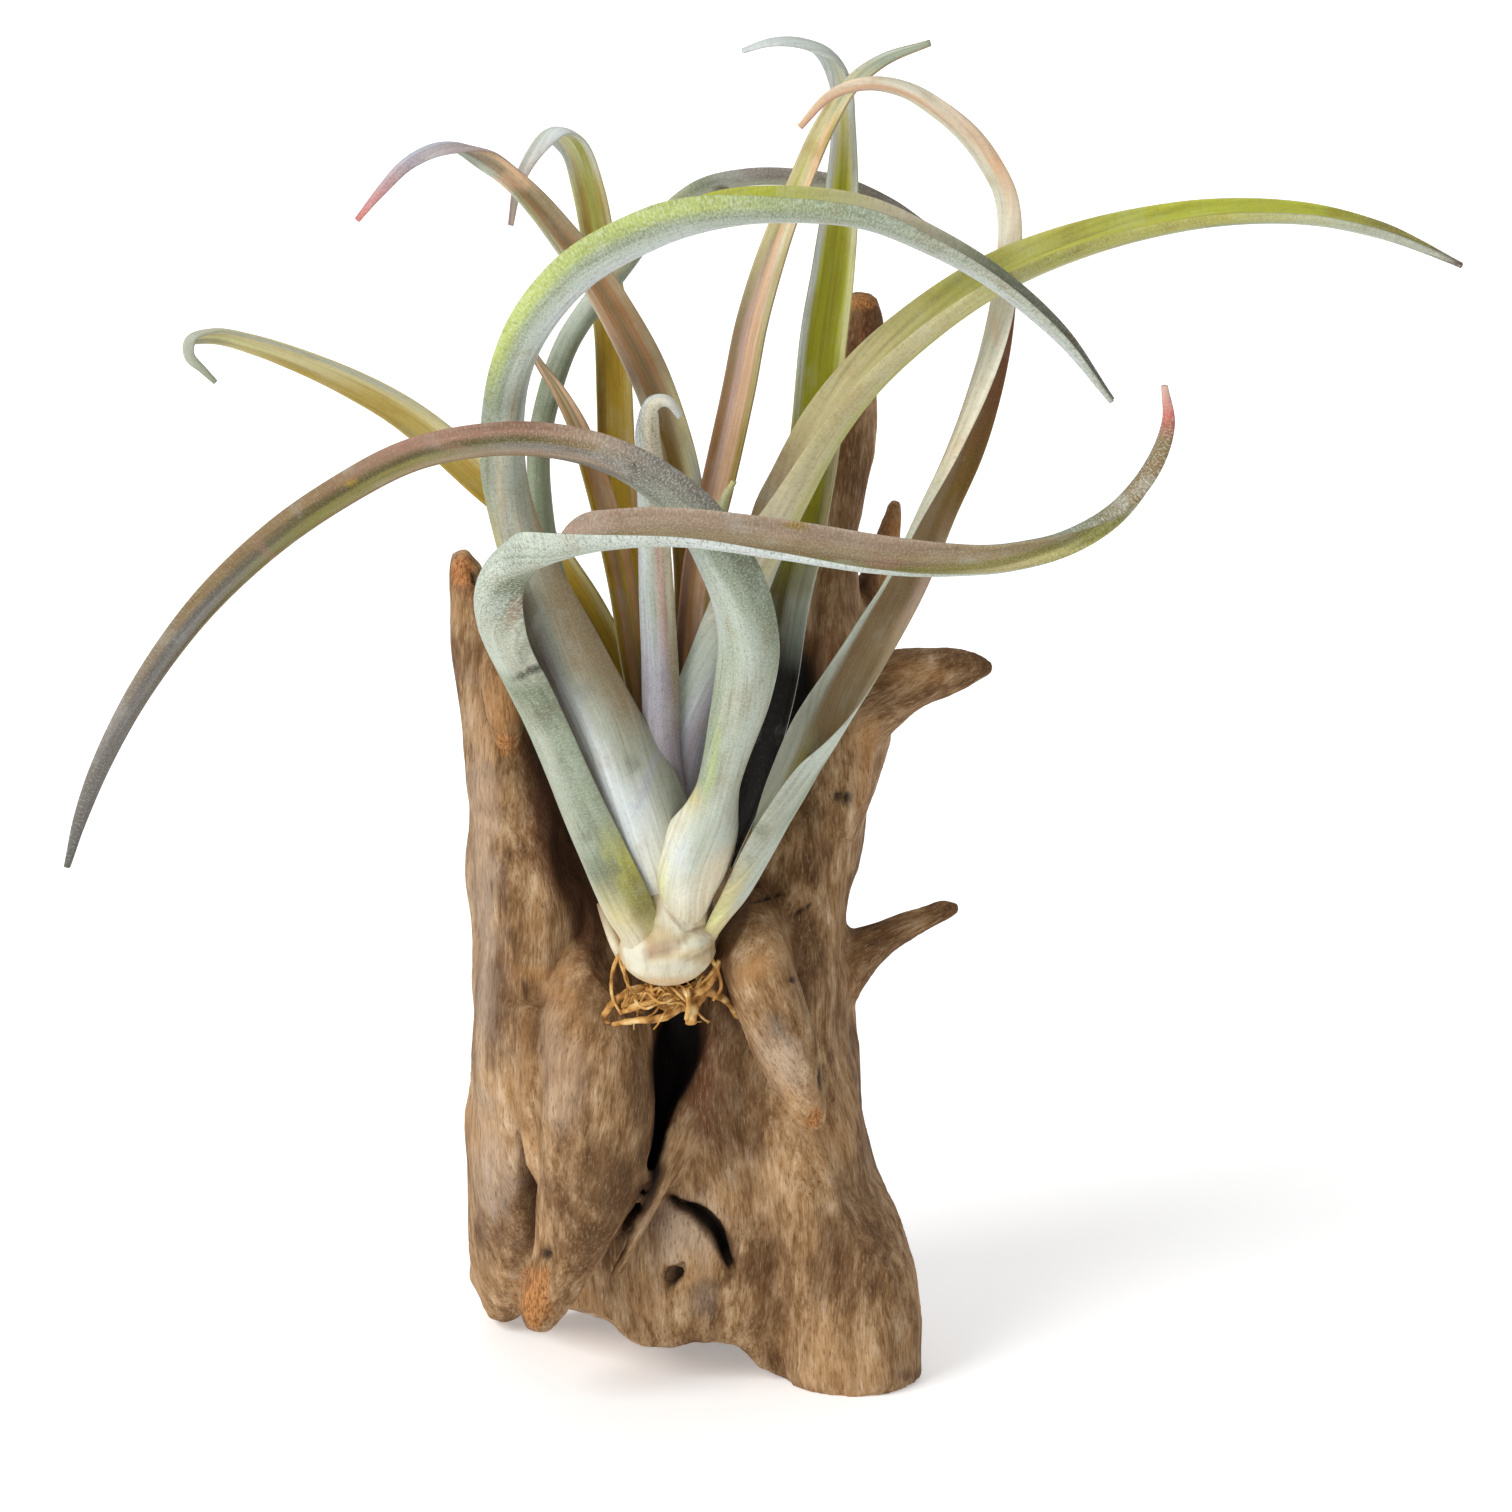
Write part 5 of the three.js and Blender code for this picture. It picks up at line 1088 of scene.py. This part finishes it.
def rootlets_piece():
    """Thin curling roots that wind round the crown and through the thicker ones."""
    rng = np.random.default_rng(ROOT_SEED)
    share = np.linspace(0, 1, ROOT_RINGS)
    taper = 1 - 0.6 * share
    shapes = []
    for _ in range(ROOTLETS):
        angle = rng.uniform(-1.5, 1.5) + rng.choice((-1, 1)) * rng.uniform(0.4, 1.3) * share
        waves = rng.uniform(0, 2 * math.pi, 2)
        reach = rng.uniform(5.8, 7.4) + 0.8 * np.sin(5 * share + waves[0]) + 1.3 * share
        up = rng.uniform(80, 85) - rng.uniform(0.5, 6.5) * share + 0.8 * np.sin(7 * share + waves[1])
        across, back = ROOT_MIDDLE[0] + reach * np.sin(angle), ROOT_MIDDLE[1] - reach * np.cos(angle)
        path = np.stack([across, up, back], axis=1)
        shapes.append(tube_shape(at(path), rng.uniform(0.2, 0.46) * MM * taper, TUBE_SIDES))
    for radius, route in ROOT_STRANDS:
        knots = at(table(route))
        path = spline(knots, share * (len(knots) - 1))
        shapes.append(tube_shape(path, radius * MM * (1 - 0.5 * share), TUBE_SIDES))
    return mesh_piece("rootlets", *gathered(shapes), root_skin("rootlet_skin"))


def studio():
    """Pale floor, soft light from the upper left, and the photograph's camera."""
    glow = {"Specular IOR Level": 0.1, "Emission Color": (1, 1, 1, 1), "Emission Strength": FLOOR_GLOW}
    floor_skin = Graph("floor").surface(linear((250, 250, 250)), 0.9, **glow)
    corners = np.array([(-1, -1, 0), (1, -1, 0), (1, 1, 0), (-1, 1, 0)]) * FLOOR_HALF
    floor = mesh_piece("floor", corners, [(0, 1, 2, 3)], floor_skin)
    world = bpy.data.worlds.new("studio")
    world.use_nodes = True
    background = world.node_tree.nodes["Background"].inputs
    background["Color"].default_value = (1, 1, 1, 1)
    background["Strength"].default_value = WORLD_LIGHT
    bpy.context.scene.world = world
    bpy.context.scene.view_settings.view_transform = "Standard"
    for name, place, target, size, watts in LAMPS:
        lamp = bpy.data.lights.new(name, "AREA")
        lamp.size = size
        lamp.energy = watts
        holder = placed(name, lamp)
        holder.location = place
        holder.rotation_euler = (Vector(target) - Vector(place)).to_track_quat("-Z", "Y").to_euler()
    target = at([(*FRAME_CENTRE, MIDDLE[1])])[0]
    camera = bpy.data.cameras.new("camera")
    camera.sensor_width = SENSOR
    camera.lens = SENSOR * CAMERA_DISTANCE / FRAME_WIDTH
    camera.clip_end = 30
    eye = placed("camera", camera)
    eye.location = Vector(target + FRONT * CAMERA_DISTANCE)
    eye.rotation_euler = Vector(-FRONT).to_track_quat("-Z", "Y").to_euler()
    bpy.context.scene.camera = eye


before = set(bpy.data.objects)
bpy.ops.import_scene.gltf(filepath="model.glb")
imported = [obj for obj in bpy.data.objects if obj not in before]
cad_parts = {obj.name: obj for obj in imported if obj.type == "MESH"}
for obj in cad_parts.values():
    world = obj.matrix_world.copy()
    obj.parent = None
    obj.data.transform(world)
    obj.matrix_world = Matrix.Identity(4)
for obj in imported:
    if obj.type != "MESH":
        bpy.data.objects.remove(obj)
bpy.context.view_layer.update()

skin = leaf_skin()
for leaf_name, leaf in LEAVES.items():
    blade = leaf_piece(leaf_name, leaf, skin)
    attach(blade, "root")
    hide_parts(leaf_name)
for make, node in ((wood_piece, "driftwood"), (stem_piece, "stem_base"), (roots_piece, "roots")):
    piece = make()
    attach(piece, "root")
    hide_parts(node)
flake = leaf_piece("sheath_scrap_left", SCRAP, skin)
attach(flake, "root")
rootlets = rootlets_piece()
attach(rootlets, "root")
studio()
